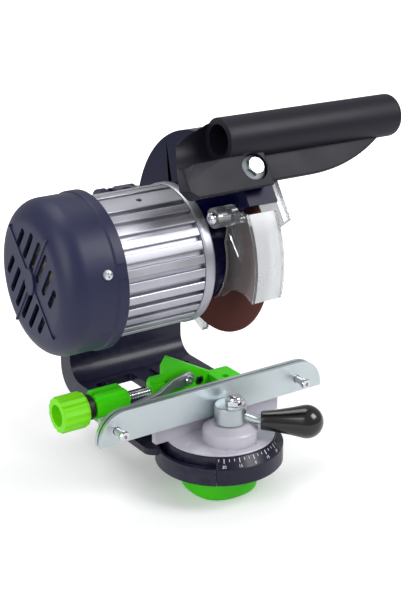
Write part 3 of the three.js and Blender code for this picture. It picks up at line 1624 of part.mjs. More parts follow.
function carriage() {
  const back = carriageFront + carriageThickness;
  const main = plate('y', [
    [carriageLeft, carriageBottom],
    [carriageRight, carriageBottom],
    [carriageRight, carriageRightZ],
    [carriageApexX, carriageApexZ],
    [carriageLeft, carriageShoulderZ],
  ], carriageFront, back);
  const low = plate('y', [
    [finLowLeft, adjusterZ],
    [carriageLeft + finThickness, adjusterZ],
    [carriageLeft + finThickness, finLowTop],
    [finLowLeft + finThickness / 2, finLowTop],
    [finLowLeft, finLowTop - finThickness / 2],
  ], carriageFront, back - runGap);
  const halfBoss = carriageBossHeight / 2;
  const boss = block(finLowLeft, carriageLeft + seatGap, carriageBossFront, back, adjusterZ - halfBoss,
    adjusterZ + halfBoss);
  const spacer = rod('y', pawlHeadDiameter + pawlSpacer, carriageFront - pawlSpacer,
    carriageFront + runGap, pawlPivotX, pawlPivotZ);
  const lugTop = railTop + seatGap + lugThickness;
  const lug = block(carriageRight - finThickness, lugRight, lugFront, back, railTop + seatGap, lugTop);
  const hole = rod('z', lugHoleDiameter, railTop - overrun, lugTop + overrun, lugHoleX, lugHoleY);
  const bore = rod('x', adjusterDiameter + 2 * seatGap, finLowLeft - overrun,
    adjusterEndX + carriageTravel, adjusterY, adjusterZ);
  const foot = block(carriageLeft, carriageRight, railBack + seatGap, carriageFront + runGap,
    carriageBottom, carriageBottom + finThickness);
  const screwHole = rod('y', lockScrewDiameter + 2 * seatGap, carriageFront - overrun, back - runGap,
    lockScrewX, lockScrewZ);
  const pawlHole = rod('y', pawlBoltDiameter + 2 * seatGap, carriageFront - overrun, back + overrun,
    pawlPivotX, pawlPivotZ);
  return cut(join(main, low, boss, spacer, lug, foot), hole, bore, screwHole, pawlHole);
}

function lockScrew() {
  const back = carriageFront + carriageThickness - runGap - seatGap;
  const proud = runGap;
  const body = rod('y', lockScrewDiameter, carriageFront - proud, back, lockScrewX, lockScrewZ);
  const socket = plate('y', hexagon(lockScrewDiameter / 2, lockScrewX, lockScrewZ),
    carriageFront - proud - overrun, carriageFront + overrun);
  return cut(body, socket);
}

function pawlBolt() {
  const headFront = carriageFront - pawlSpacer - pawlThickness - 2 * seatGap;
  const headHeight = pawlBoltDiameter * 0.8;
  const shank = rod('y', pawlBoltDiameter, headFront - headHeight / 2,
    carriageFront + carriageThickness, pawlPivotX, pawlPivotZ, screwSteps);
  const cap = rod('y', pawlHeadDiameter, headFront - headHeight, headFront, pawlPivotX, pawlPivotZ,
    smallSteps);
  const socket = plate('y', hexagon(pawlBoltDiameter * 0.7, pawlPivotX, pawlPivotZ),
    headFront - headHeight - overrun, headFront - headHeight / 2);
  return cut(join(shank, cap), socket);
}

// The pawl: an eye on the bolt, a straight shank and a bent foot that leans over the jaws.
function stopPawl() {
  const back = carriageFront - pawlSpacer - seatGap;
  const front = back - pawlThickness;
  const low = pawlKneeZ - pawlTipDepth / 2;
  const shank = plate('y', [
    ...arc(pawlRootRadius, pawlEyeFrom, pawlEyeTo, 10, pawlPivotX, pawlPivotZ),
    [pawlBendX, low + pawlShankDepth + pawlTipDepth / 2],
    [pawlBendX, low + pawlTipDepth / 2],
  ], front, back);
  const slope = (front - pawlTipFront) / (pawlBendX - pawlTipX);
  const lean = (x) => front - (pawlBendX - x) * slope;
  const corners = (x, bottom, top) => [
    new THREE.Vector3(x, lean(x), bottom),
    new THREE.Vector3(x, lean(x) + pawlThickness, bottom),
    new THREE.Vector3(x, lean(x), top),
    new THREE.Vector3(x, lean(x) + pawlThickness, top),
  ];
  const thigh = new ConvexGeometry([
    ...corners(pawlBendX, low + pawlTipDepth / 2, low + pawlShankDepth + pawlTipDepth / 2),
    ...corners(pawlKneeX, low, low + pawlTipDepth + seatGap),
  ]);
  const foot = new ConvexGeometry([
    ...corners(pawlKneeX, low, low + pawlTipDepth + seatGap),
    ...corners(pawlTipX, pawlTipZ - pawlTipDepth / 4, pawlTipZ + pawlTipDepth / 2),
    ...corners(pawlTipX + pawlTipDepth, pawlTipZ - pawlTipDepth / 2, pawlTipZ + pawlTipDepth / 2),
  ]);
  const hole = rod('y', pawlBoltDiameter + 2 * seatGap, front - overrun, back + overrun, pawlPivotX,
    pawlPivotZ);
  return cut(join(shank, thigh, foot), hole);
}

// Lock knob

function lockKnob() {
  const bottom = lockKnobTop - lockKnobHeight;
  const grip = plate('z', lobedOutline(lockKnobRadius, lockKnobLobes, lockKnobDip, lockKnobPhase), bottom,
    lockKnobTop);
  const taper = turned('z', [
    [0, bottom],
    [lockKnobFoot, bottom],
    [lockKnobRadius, bottom + overrun],
    [lockKnobRadius, lockKnobTop],
    [0, lockKnobTop],
  ], fineSteps);
  const bore = rod('z', lockStudDiameter + 2 * seatGap, bottom + overrun, lockKnobTop + overrun);
  return cut(common(grip, taper), bore);
}

// Switch box behind the motor

const boxFront = housingRadius + seatGap;

function switchBox() {
  const outer = plate('x', [
    [boxFront, boxBottom],
    [boxBack, boxBottom],
    [boxBack, boxTop],
    [boxFront, boxTop],
  ], boxLeftX, boxRightX);
  const hollow = block(boxLeftX + boxWall, boxRightX - boxWall, boxFront + boxWall, boxBack - boxWall,
    boxBottom + boxWall, boxTop + overrun);
  const gland = rod('z', glandDiameter - 2 * boxWall, boxBottom - overrun, boxBottom + 2 * boxWall,
    boxLeftX + glandDiameter, (boxFront + boxBack) / 2);
  return cut(outer, hollow, gland);
}

function switchLid() {
  const low = boxTop + seatGap;
  const high = low + boxWall;
  const centreX = (boxLeftX + boxRightX) / 2;
  const centreY = (boxFront + boxBack) / 2;
  const lid = block(boxLeftX, boxRightX, boxFront, boxBack, low, high);
  const opening = block(centreX - rockerWidth / 2 - runGap, centreX + rockerWidth / 2 + runGap,
    centreY - rockerHeight / 2 - runGap, centreY + rockerHeight / 2 + runGap, low - overrun,
    high + overrun);
  return cut(lid, opening);
}

function rocker() {
  const low = boxTop - boxWall;
  const high = boxTop + seatGap + boxWall + rockerProud;
  const centreX = (boxLeftX + boxRightX) / 2;
  const centreY = (boxFront + boxBack) / 2;
  const half = rockerWidth / 2 - runGap;
  return plate('y', [
    [centreX - half + rockerProud, low],
    [centreX + half - rockerProud, low],
    [centreX + half, high],
    [centreX, high - rockerProud * 0.7],
    [centreX - half, high],
  ], centreY - rockerHeight / 2, centreY + rockerHeight / 2);
}

function cableGland() {
  const centreX = boxLeftX + glandDiameter;
  const centreY = (boxFront + boxBack) / 2;
  const top = boxBottom + 1.6 * boxWall;
  const neck = glandDiameter / 2 - boxWall - seatGap;
  return turned('z', [
    [glandBore / 2, boxBottom - seatGap - glandLength],
    [glandDiameter / 2 - boxWall, boxBottom - seatGap - glandLength],
    [glandDiameter / 2, boxBottom - seatGap - glandLength + boxWall],
    [glandDiameter / 2, boxBottom - seatGap],
    [neck, boxBottom - seatGap],
    [neck, top],
    [glandBore / 2, top],
  ], smallSteps).translate(centreX, centreY, 0);
}

function capacitor() {
  const left = (boxLeftX + boxRightX) / 2 - capacitorLength / 2;
  const middle = boxBottom + 2 * boxWall + seatGap + capacitorDiameter / 2;
  const shiftX = boxRightX - boxWall - seatGap - capacitorLength - left;
  return rod('x', capacitorDiameter, left + shiftX, left + shiftX + capacitorLength,
    (boxFront + boxBack) / 2, middle, smallSteps);
}

// Head: motor, casing, handle and what turns in them
node(head, 'motor_housing', motorHousing(), aluminium);
node(head, 'front_end_shield', frontEndShield(), aluminium);
node(head, 'rear_end_shield', rearEndShield(), aluminium);
node(head, 'stator_core', statorCore(), darkSteel);
node(head, 'stator_windings', statorWindings(), copper);
node(head, 'front_bearing', bearing(frontBearingLeft), zincSteel);
node(head, 'rear_bearing', bearing(rearBearingLeft), zincSteel);
node(head, 'rotor_shaft', rotorShaft(), darkSteel);
node(head, 'rotor_core', rotorCore(), darkSteel);
node(head, 'cooling_fan', coolingFan(), beigePlastic);
node(head, 'fan_cover', fanCover(), slatePlastic);
coverScrewAngles.forEach((angle, i) => {
  node(head, `fan_cover_screw_${i + 1}`, coverScrew(angle), zincSteel);
});
node(head, 'inner_flange', innerFlange(), zincSteel);
node(head, 'grinding_wheel', grindingWheel(), abrasive);
node(head, 'outer_flange', outerFlange(), zincSteel);
node(head, 'wheel_nut', wheelNut(), zincSteel);
node(head, 'wheel_casing', wheelCasing(), navyPaint);
node(head, 'side_cover', sideCover(), clearPlastic);
casingScrewAngles.forEach((angle, i) => {
  node(head, `casing_screw_${i + 1}`, casingScrew(angle), zincSteel);
});
node(head, 'handle', handle(), charcoalPlastic);
node(head, 'handle_bolt', handleBolt(), zincSteel);
node(head, 'handle_nut', handleNut(), zincSteel);
node(head, 'clear_guard', clearGuard(), clearPlastic);
node(head, 'guard_pivot_bolt', guardBolt(), chrome);
node(head, 'guard_pivot_nut', guardNut(), zincSteel);
node(head, 'hinge_pin', hingePin(), zincSteel);
node(head, 'hinge_nut', hingeNut(), zincSteel);
node(head, 'return_spring', returnSpring(), darkSteel);
node(head, 'depth_stop_screw', depthStopScrew(), zincSteel);
node(head, 'switch_box', switchBox(), blackPlastic);
node(head, 'switch_lid', switchLid(), blackPlastic);
node(head, 'switch_rocker', rocker(), greenPlastic);
node(head, 'cable_gland', cableGland(), blackPlastic);
node(head, 'capacitor', capacitor(), zincSteel);

// Base and seat
node(sharpener, 'base_bracket', baseBracket(), navyPaint);
node(sharpener, 'angle_scale', angleScale(), navyPaint);
node(sharpener, 'lock_knob', lockKnob(), greenPlastic);

// Vise
node(sharpener, 'swivel_table', swivelTable(), castGrey);
node(sharpener, 'table_stud', tableStud(), zincSteel);
node(sharpener, 'rear_jaw', jaw(rearJawFront, guideDiameter + 2 * seatGap), zincSteel);
node(sharpener, 'front_jaw', jaw(frontJawFront, guideDiameter + 2 * seatGap), zincSteel);
node(sharpener, 'left_guide_screw', guideScrew(guideLeftX), chrome);
node(sharpener, 'right_guide_screw', guideScrew(guideRightX), chrome);
node(sharpener, 'cam_hub', camHub(), zincSteel);
node(sharpener, 'lever_rod', leverRod(), zincSteel);
node(sharpener, 'lever_knob', leverKnob(), blackPlastic);
node(sharpener, 'cam_bolt', camBolt(), chrome);

// Chain stop
node(sharpener, 'adjuster_knob', adjusterKnob(), limePlastic);
node(sharpener, 'adjuster_screw', adjusterScrew(), chrome);
node(sharpener, 'adjuster_collar', adjusterCollar(), charcoalPlastic);
node(sharpener, 'stop_block', stopBlock(), greenPlastic);
node(sharpener, 'stop_block_screw', blockScrew(), zincSteel);
node(sharpener, 'stop_carriage', carriage(), greenPlastic);
node(sharpener, 'carriage_lock_screw', lockScrew(), darkSteel);
node(sharpener, 'pawl_bolt', pawlBolt(), chrome);
node(sharpener, 'stop_pawl', stopPawl(), aluminium);

export default sharpener;
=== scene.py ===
"""Electric saw chain sharpener for a bench edge: the dressed model.

Sizes are millimetres from the swivel axis of the vise and from the bench face, until a piece is
placed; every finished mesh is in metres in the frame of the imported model.
"""
import math

import bmesh
import bpy
from mathutils import Matrix, Vector


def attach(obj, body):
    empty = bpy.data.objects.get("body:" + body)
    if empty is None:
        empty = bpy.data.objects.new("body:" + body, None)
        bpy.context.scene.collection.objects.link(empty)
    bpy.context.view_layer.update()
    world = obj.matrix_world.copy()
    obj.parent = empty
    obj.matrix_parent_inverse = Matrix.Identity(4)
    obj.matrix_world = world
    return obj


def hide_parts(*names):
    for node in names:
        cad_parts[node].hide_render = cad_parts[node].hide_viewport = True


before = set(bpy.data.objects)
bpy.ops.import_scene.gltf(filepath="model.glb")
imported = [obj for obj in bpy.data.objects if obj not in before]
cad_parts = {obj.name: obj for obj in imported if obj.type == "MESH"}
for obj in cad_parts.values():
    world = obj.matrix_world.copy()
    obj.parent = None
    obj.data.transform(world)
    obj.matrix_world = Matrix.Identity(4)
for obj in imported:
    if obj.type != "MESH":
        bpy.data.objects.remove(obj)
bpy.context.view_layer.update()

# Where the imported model's origin lies, and where the motor axis runs
FOOT_Y = 72
HEAD = Vector((0, 7.5, 173))
ORIGIN = Vector((0, 0, 0))

# Fits, and how far a cutting tool runs past what it cuts
GAP = 0.3
RUN = 0.5
OVER = 3

# Steps round a corner, how close points are merged as made and as cut, and the degrees by which
# two faces may differ and still be one flat
CORNER_STEPS = 5
WELD = 1e-4
CUT_WELD = 1e-3
FLAT_ANGLE = 0.4

X = Vector((1, 0, 0))
Y = Vector((0, 1, 0))
Z = Vector((0, 0, 1))


# Meshes

def mesh_of(verts, faces):
    mesh = bpy.data.meshes.new("shape")
    mesh.from_pydata([tuple(v) for v in verts], [], faces)
    tidy(mesh)
    return mesh


def tidy(mesh):
    """Merges the points that lie together and turns every face outwards."""
    bm = bmesh.new()
    bm.from_mesh(mesh)
    bmesh.ops.remove_doubles(bm, verts=bm.verts, dist=WELD)
    bmesh.ops.recalc_face_normals(bm, faces=bm.faces)
    bm.to_mesh(mesh)
    bm.free()


def turn_degrees(angle):
    return math.radians(angle)


def arc(radius, start, end, steps, u=0.0, v=0.0):
    points = []
    for i in range(steps + 1):
        a = turn_degrees(start + (end - start) * i / steps)
        points.append((u + radius * math.cos(a), v + radius * math.sin(a)))
    return points


def ring(radius, steps, u=0.0, v=0.0, turn=0.0):
    return arc(radius, turn, turn + 360, steps, u, v)[:-1]


def hexagon(across_flats, u=0.0, v=0.0, turn=0.0):
    return ring(across_flats / math.sqrt(3), 6, u, v, turn)


def rectangle(left, right, low, high):
    return [(left, low), (right, low), (right, high), (left, high)]


def bent(start, middle, end, steps):
    """A smooth curve from a start to an end, drawn towards the point between them."""
    a, b, c = Vector(start), Vector(middle), Vector(end)
    points = []
    for i in range(steps + 1):
        t = i / steps
        p = a * (1 - t) ** 2 + b * 2 * t * (1 - t) + c * t * t
        points.append((p.x, p.y))
    return points


def rounded(points, radius):
    """Rounds every corner of a closed outline."""
    out = []
    count = len(points)
    for i in range(count):
        a = Vector(points[i - 1])
        b = Vector(points[i])
        c = Vector(points[(i + 1) % count])
        to_a = (a - b).normalized()
        to_c = (c - b).normalized()
        reach = min(radius, (a - b).length / 2.1, (c - b).length / 2.1)
        out += bent(b + to_a * reach, b, b + to_c * reach, CORNER_STEPS)
    return out


def sector(inner, outer, start, end, steps):
    return arc(outer, start, end, steps) + arc(inner, end, start, steps)


def plate(axis, outline, low, high):
    """A plate square to an axis: the outline lies in the two other axes, in their own order."""
    place = {
        "x": lambda u, v, w: (w, u, v),
        "y": lambda u, v, w: (u, w, v),
        "z": lambda u, v, w: (u, v, w),
    }[axis]
    count = len(outline)
    verts = [place(u, v, low) for u, v in outline] + [place(u, v, high) for u, v in outline]
    faces = [list(range(count)), list(range(2 * count - 1, count - 1, -1))]
    for i in range(count):
        k = (i + 1) % count
        faces.append([i, k, count + k, count + i])
    return mesh_of(verts, faces)


def block(x0, x1, y0, y1, z0, z1):
    return plate("z", rectangle(x0, x1, y0, y1), z0, z1)


def turned(axis, profile, steps=96):
    """A body of revolution: the profile is a closed loop of (radius, place along the axis)."""
    place = {
        "x": lambda r, a, w: (w, r * math.cos(a), r * math.sin(a)),
        "y": lambda r, a, w: (r * math.cos(a), w, r * math.sin(a)),
        "z": lambda r, a, w: (r * math.cos(a), r * math.sin(a), w),
    }[axis]
    verts = []
    rows = []
    for radius, along in profile:
        if radius < 1e-9:
            rows.append([len(verts)] * steps)
            verts.append(place(0, 0, along))
        else:
            rows.append(list(range(len(verts), len(verts) + steps)))
            verts += [place(radius, 2 * math.pi * i / steps, along) for i in range(steps)]
    faces = []
    for k, row in enumerate(rows):
        other = rows[(k + 1) % len(rows)]
        if len(set(row)) == 1 and len(set(other)) == 1:
            continue
        for i in range(steps):
            j = (i + 1) % steps
            corners = []
            for index in (row[i], row[j], other[j], other[i]):
                if index not in corners:
                    corners.append(index)
            faces.append(corners)
    return mesh_of(verts, faces)


def rod(axis, diameter, low, high, u=0.0, v=0.0, steps=48):
    return plate(axis, ring(diameter / 2, steps, u, v), low, high)


def tube(axis, outer, inner, low, high, u=0.0, v=0.0, steps=72):
    shape = turned(axis, [(inner / 2, low), (outer / 2, low), (outer / 2, high), (inner / 2, high)], steps)
    shift = {"x": (0, u, v), "y": (u, 0, v), "z": (u, v, 0)}[axis]
    return moved(shape, *shift)


def hull(points):
    """The closed body that a sheet drawn tight round some points would make."""
    bm = bmesh.new()
    for p in points:
        bm.verts.new(p)
    made = bmesh.ops.convex_hull(bm, input=bm.verts)
    loose = [g for g in made["geom_interior"] + made["geom_unused"] if isinstance(g, bmesh.types.BMVert)]
    bmesh.ops.delete(bm, geom=list(set(loose)), context="VERTS")
    bmesh.ops.dissolve_limit(bm, angle_limit=0.01, verts=bm.verts, edges=bm.edges)
    mesh = bpy.data.meshes.new("hull")
    bm.to_mesh(mesh)
    bm.free()
    tidy(mesh)
    return mesh


def moved(mesh, x=0.0, y=0.0, z=0.0):
    copy = mesh.copy()
    copy.transform(Matrix.Translation((x, y, z)))
    return copy


def spun(mesh, axis, angle):
    """A copy turned about an axis through the origin."""
    copy = mesh.copy()
    copy.transform(Matrix.Rotation(turn_degrees(angle), 4, axis))
    return copy


def gathered(*meshes):
    """Several closed shells in one mesh."""
    bm = bmesh.new()
    for mesh in meshes:
        bm.from_mesh(mesh)
    out = bpy.data.meshes.new("gathered")
    bm.to_mesh(out)
    bm.free()
    return out


def on_bench(mesh):
    """Puts a mesh into the scene so that modifiers can work on it."""
    thing = bpy.data.objects.new("work", mesh)
    bpy.context.scene.collection.objects.link(thing)
    return thing


def worked(thing, extra=()):
    """Takes the finished mesh off an object and clears the work objects away."""
    bpy.context.view_layer.update()
    depsgraph = bpy.context.evaluated_depsgraph_get()
    mesh = bpy.data.meshes.new_from_object(thing.evaluated_get(depsgraph), depsgraph=depsgraph)
    for other in (thing, *extra):
        bpy.data.objects.remove(other, do_unlink=True)
    return mesh


def carved(body, operation, tools):
    """Cuts, joins or keeps in common, one tool after another, and leaves no stray edges on the flats."""
    thing = on_bench(body.copy())
    helpers = []
    for tool in tools:
        helper = on_bench(tool)
        helpers.append(helper)
        step = thing.modifiers.new("step", "BOOLEAN")
        step.operation = operation
        step.solver = "EXACT"
        step.object = helper
    mesh = worked(thing, helpers)
    bm = bmesh.new()
    bm.from_mesh(mesh)
    bmesh.ops.remove_doubles(bm, verts=bm.verts, dist=CUT_WELD)
    bmesh.ops.dissolve_limit(bm, angle_limit=turn_degrees(FLAT_ANGLE), verts=bm.verts, edges=bm.edges)
    bm.to_mesh(mesh)
    bm.free()
    return mesh


def cut(body, *tools):
    return carved(body, "DIFFERENCE", tools)


def join(body, *others):
    return carved(body, "UNION", others)


def common(body, *others):
    return carved(body, "INTERSECT", others)


def crossed(head, slot, axis):
    """Cuts a slot and the same slot a quarter turn on into the head of a screw."""
    return cut(head, slot, spun(slot, axis, 90))


def eased(mesh, width=0.6, segments=3, angle=32):
    """Rounds the edges of a hard-edged mesh."""
    thing = on_bench(mesh.copy())
    step = thing.modifiers.new("edges", "BEVEL")
    step.width = width
    step.segments = segments
    step.limit_method = "ANGLE"
    step.angle_limit = turn_degrees(angle)
    step.miter_outer = "MITER_ARC"
    step.use_clamp_overlap = True
    step.harden_normals = False
    return worked(thing)


def smooth(mesh, angle=32):
    """Shades over the soft edges, with the large faces kept flat."""
    for polygon in mesh.polygons:
        polygon.use_smooth = True
    mesh.set_sharp_from_angle(angle=turn_degrees(angle))
    thing = on_bench(mesh)
    step = thing.modifiers.new("normals", "WEIGHTED_NORMAL")
    step.keep_sharp = True
    return worked(thing)


# Geometry trees

def new_tree(name, sockets):
    tree = bpy.data.node_groups.new(name, "GeometryNodeTree")
    tree.interface.new_socket("Geometry", in_out="OUTPUT", socket_type="NodeSocketGeometry")
    for label, kind, value in sockets:
        item = tree.interface.new_socket(label, in_out="INPUT", socket_type=kind)
        if value is not None:
            item.default_value = value
    return tree, tree.nodes.new("NodeGroupInput"), tree.nodes.new("NodeGroupOutput")


def add(tree, kind, **inputs):
    """A new node: set_ names its own settings, i and a number an input by its place."""
    node = tree.nodes.new(kind)
    for key, value in inputs.items():
        if key.startswith("set_"):
            setattr(node, key[4:], value)
    for key, value in inputs.items():
        if key.startswith("set_"):
            continue
        socket = node.inputs[int(key[1:])] if key[0] == "i" and key[1:].isdigit() else node.inputs[key]
        if isinstance(value, bpy.types.NodeSocket):
            tree.links.new(value, socket)
        else:
            socket.default_value = value
    return node


def reckoned(tree, operation, *values, kind="ShaderNodeMath", out=0):
    """The result of one step of arithmetic on up to three values."""
    inputs = {f"i{i}": value for i, value in enumerate(values)}
    return add(tree, kind, set_operation=operation, **inputs).outputs[out]


def mapped(tree, value, low=0.0, high=1.0, to_low=0.0, to_high=1.0):
    """Carries one range of values over to another and holds it at both ends."""
    ends = {"From Min": low, "From Max": high, "To Min": to_low, "To Max": to_high}
    return add(tree, "ShaderNodeMapRange", Value=value, **ends).outputs[0]


def copies_on(tree, points, piece_input, **inputs):
    """Puts a copy of the given object on each point."""
    source = add(tree, "GeometryNodeObjectInfo", Object=piece_input)
    copies = add(tree, "GeometryNodeInstanceOnPoints", Points=points.outputs[0],
                 Instance=source.outputs["Geometry"], **inputs)
    return copies.outputs[0]


def close_tree(tree, given, result, geometry):
    """Makes real meshes of the copies and gives them the tree's material."""
    real = add(tree, "GeometryNodeRealizeInstances", Geometry=geometry)
    dressed = add(tree, "GeometryNodeSetMaterial", Geometry=real.outputs[0],
                  Material=given.outputs["Material"])
    tree.links.new(dressed.outputs[0], result.inputs["Geometry"])
    return tree


def ring_tree():
    """Copies of a piece turned round an axis through the origin."""
    tree, given, result = new_tree("ring of copies", [
        ("Piece", "NodeSocketObject", None), ("Count", "NodeSocketInt", 4),
        ("Start", "NodeSocketFloat", 0.0), ("Step", "NodeSocketFloat", 1.0),
        ("Axis", "NodeSocketVector", (1, 0, 0)), ("Material", "NodeSocketMaterial", None)])
    points = add(tree, "GeometryNodePoints", Count=given.outputs["Count"])
    index = tree.nodes.new("GeometryNodeInputIndex")
    angle = reckoned(tree, "MULTIPLY_ADD", index.outputs[0], given.outputs["Step"], given.outputs["Start"])
    turn = add(tree, "FunctionNodeAxisAngleToRotation", Axis=given.outputs["Axis"], Angle=angle)
    copies = copies_on(tree, points, given.outputs["Piece"], Rotation=turn.outputs[0])
    return close_tree(tree, given, result, copies)


def row_tree():
    """Copies of a piece in a straight row."""
    tree, given, result = new_tree("row of copies", [
        ("Piece", "NodeSocketObject", None), ("Count", "NodeSocketInt", 4),
        ("Offset", "NodeSocketVector", (0, 0, 0)), ("Material", "NodeSocketMaterial", None)])
    line = add(tree, "GeometryNodeMeshLine", Count=given.outputs["Count"], Offset=given.outputs["Offset"])
    return close_tree(tree, given, result, copies_on(tree, line, given.outputs["Piece"]))


def coil_tree():
    """A round wire wound on a cylinder about Z."""
    tree, given, result = new_tree("coil", [
        ("Turns", "NodeSocketFloat", 4.0), ("Radius", "NodeSocketFloat", 10.0),
        ("Height", "NodeSocketFloat", 10.0), ("Wire", "NodeSocketFloat", 1.0),
        ("Steps", "NodeSocketInt", 32), ("Sides", "NodeSocketInt", 10),
        ("Material", "NodeSocketMaterial", None)])
    radius = given.outputs["Radius"]
    spiral = add(tree, "GeometryNodeCurveSpiral", Resolution=given.outputs["Steps"],
                 Rotations=given.outputs["Turns"], Height=given.outputs["Height"],
                 **{"Start Radius": radius, "End Radius": radius})
    profile = add(tree, "GeometryNodeCurvePrimitiveCircle", Resolution=given.outputs["Sides"],
                  Radius=given.outputs["Wire"])
    wire = add(tree, "GeometryNodeCurveToMesh", Curve=spiral.outputs[0],
               **{"Profile Curve": profile.outputs[0], "Fill Caps": True})
    return close_tree(tree, given, result, wire.outputs[0])


def lobe_tree():
    """Draws a turned body in between its lobes, about Z."""
    tree, given, result = new_tree("lobes", [
        ("Body", "NodeSocketGeometry", None), ("Lobes", "NodeSocketFloat", 8.0),
        ("Depth", "NodeSocketFloat", 0.05), ("From", "NodeSocketFloat", 10.0),
        ("To", "NodeSocketFloat", 14.0), ("Material", "NodeSocketMaterial", None)])
    position = tree.nodes.new("GeometryNodeInputPosition")
    split = add(tree, "ShaderNodeSeparateXYZ", Vector=position.outputs[0])
    across, along = split.outputs["X"], split.outputs["Y"]
    angle = reckoned(tree, "ARCTAN2", along, across)
    wave = reckoned(tree, "COSINE", reckoned(tree, "MULTIPLY", angle, given.outputs["Lobes"]))
    dip = reckoned(tree, "MULTIPLY_ADD", wave, -0.5, 0.5)
    flat = add(tree, "ShaderNodeCombineXYZ", X=across, Y=along).outputs[0]
    reach = reckoned(tree, "LENGTH", flat, kind="ShaderNodeVectorMath", out="Value")
    share = mapped(tree, reach, given.outputs["From"], given.outputs["To"])
    depth = reckoned(tree, "MULTIPLY", reckoned(tree, "MULTIPLY", dip, share), given.outputs["Depth"])
    outward = add(tree, "ShaderNodeVectorMath", set_operation="SCALE", i0=flat, Scale=depth)
    back = add(tree, "ShaderNodeVectorMath", set_operation="SCALE", i0=outward.outputs[0], Scale=-1.0)
    placed = add(tree, "GeometryNodeSetPosition", Geometry=given.outputs["Body"], Offset=back.outputs[0])
    return close_tree(tree, given, result, placed.outputs[0])


RING = ring_tree()
ROW = row_tree()
COIL = coil_tree()
LOBES = lobe_tree()


def grown(tree, base=None, **values):
    """Runs a tree with the given inputs and returns the plain mesh it makes."""
    thing = on_bench(base.copy() if base else bpy.data.meshes.new("seed"))
    helpers = []
    step = thing.modifiers.new("grow", "NODES")
    step.node_group = tree
    for item in tree.interface.items_tree:
        if item.item_type != "SOCKET" or item.in_out != "INPUT" or item.name not in values:
            continue
        value = values[item.name]
        if item.socket_type == "NodeSocketObject":
            value = on_bench(value)
            helpers.append(value)
        step[item.identifier] = value
    return worked(thing, helpers)


def around(mesh, count, start=0.0, step=None, axis=X):
    """Copies of a mesh round an axis, a whole turn where no step is given."""
    step = 360 / count if step is None else step
    return grown(RING, Piece=mesh, Count=count, Start=turn_degrees(start), Step=turn_degrees(step),
                 Axis=tuple(axis))


def in_row(mesh, count, offset):
    return grown(ROW, Piece=mesh, Count=count, Offset=tuple(offset))


def coil(turns, radius, height, wire, steps=32, sides=10):
    return grown(COIL, Turns=float(turns), Radius=float(radius), Height=float(height), Wire=float(wire),
                 Steps=steps, Sides=sides)


def lobed(mesh, lobes, depth, inner, outer):
    return grown(LOBES, base=mesh, Lobes=float(lobes), Depth=depth, From=float(inner), To=float(outer))


# Materials

def shader_group(name, inputs, outputs):
    group = bpy.data.node_groups.new(name, "ShaderNodeTree")
    for label, kind, value in inputs:
        item = group.interface.new_socket(label, in_out="INPUT", socket_type=kind)
        if value is not None:
            item.default_value = value
    for label, kind in outputs:
        group.interface.new_socket(label, in_out="OUTPUT", socket_type=kind)
    return group, group.nodes.new("NodeGroupInput"), group.nodes.new("NodeGroupOutput")


def grain_group():
    """Fine surface grain, and slow patches of wear and polish."""
    group, given, result = shader_group("surface grain", [
        ("Vector", "NodeSocketVector", None), ("Grain Scale", "NodeSocketFloat", 900.0),
        ("Patch Scale", "NodeSocketFloat", 18.0), ("Stretch", "NodeSocketVector", (1, 1, 1))],
        [("Height", "NodeSocketFloat"), ("Patch", "NodeSocketFloat"), ("Speck", "NodeSocketFloat")])
    drawn = add(group, "ShaderNodeVectorMath", set_operation="MULTIPLY", i0=given.outputs["Vector"],
                i1=given.outputs["Stretch"])
    fine = add(group, "ShaderNodeTexNoise", Vector=drawn.outputs[0], Scale=given.outputs["Grain Scale"],
               Detail=3.0, Roughness=0.6)
    slow = add(group, "ShaderNodeTexNoise", Vector=given.outputs["Vector"],
               Scale=given.outputs["Patch Scale"], Detail=5.0, Roughness=0.55)
    specks = add(group, "ShaderNodeTexVoronoi", Vector=given.outputs["Vector"],
                 Scale=given.outputs["Grain Scale"])
    group.links.new(fine.outputs["Fac"], result.inputs["Height"])
    group.links.new(mapped(group, slow.outputs["Fac"], 0.35, 0.65), result.inputs["Patch"])
    group.links.new(specks.outputs["Distance"], result.inputs["Speck"])
    return group


def edge_group():
    """A mask of the sharp outer edges, broken up by noise."""
    group, given, result = shader_group("edge wear", [
        ("Vector", "NodeSocketVector", None), ("Amount", "NodeSocketFloat", 0.5)],
        [("Mask", "NodeSocketFloat")])
    geometry = group.nodes.new("ShaderNodeNewGeometry")
    noise = add(group, "ShaderNodeTexNoise", Vector=given.outputs["Vector"], Scale=160.0, Detail=4.0)
    edge = mapped(group, geometry.outputs["Pointiness"], 0.53, 0.60)
    broken = mapped(group, noise.outputs["Fac"], 0.42, 0.62)
    both = reckoned(group, "MULTIPLY", edge, broken)
    mask = add(group, "ShaderNodeMath", set_operation="MULTIPLY", set_use_clamp=True, i0=both,
               i1=given.outputs["Amount"])
    group.links.new(mask.outputs[0], result.inputs["Mask"])
    return group


GRAIN = grain_group()
EDGES = edge_group()
COAT_ROUGHNESS = 0.15
PATCH_SCALE = 18.0
SPECK_SHADE = 0.25


def linear(colour):
    """The linear colour, with full cover, of a screen colour."""
    return tuple(c / 12.92 if c <= 0.04045 else ((c + 0.055) / 1.055) ** 2.4 for c in colour) + (1.0,)


def shaded(colour, share):
    """A linear colour made darker or lighter by a share of itself."""
    return tuple(min(1.0, c * share) for c in colour[:3]) + (1.0,)


def blend(tree, factor, first, second):
    """Mixes two colours by a mask."""
    return add(tree, "ShaderNodeMix", set_data_type="RGBA", i0=factor, i6=first, i7=second).outputs[2]


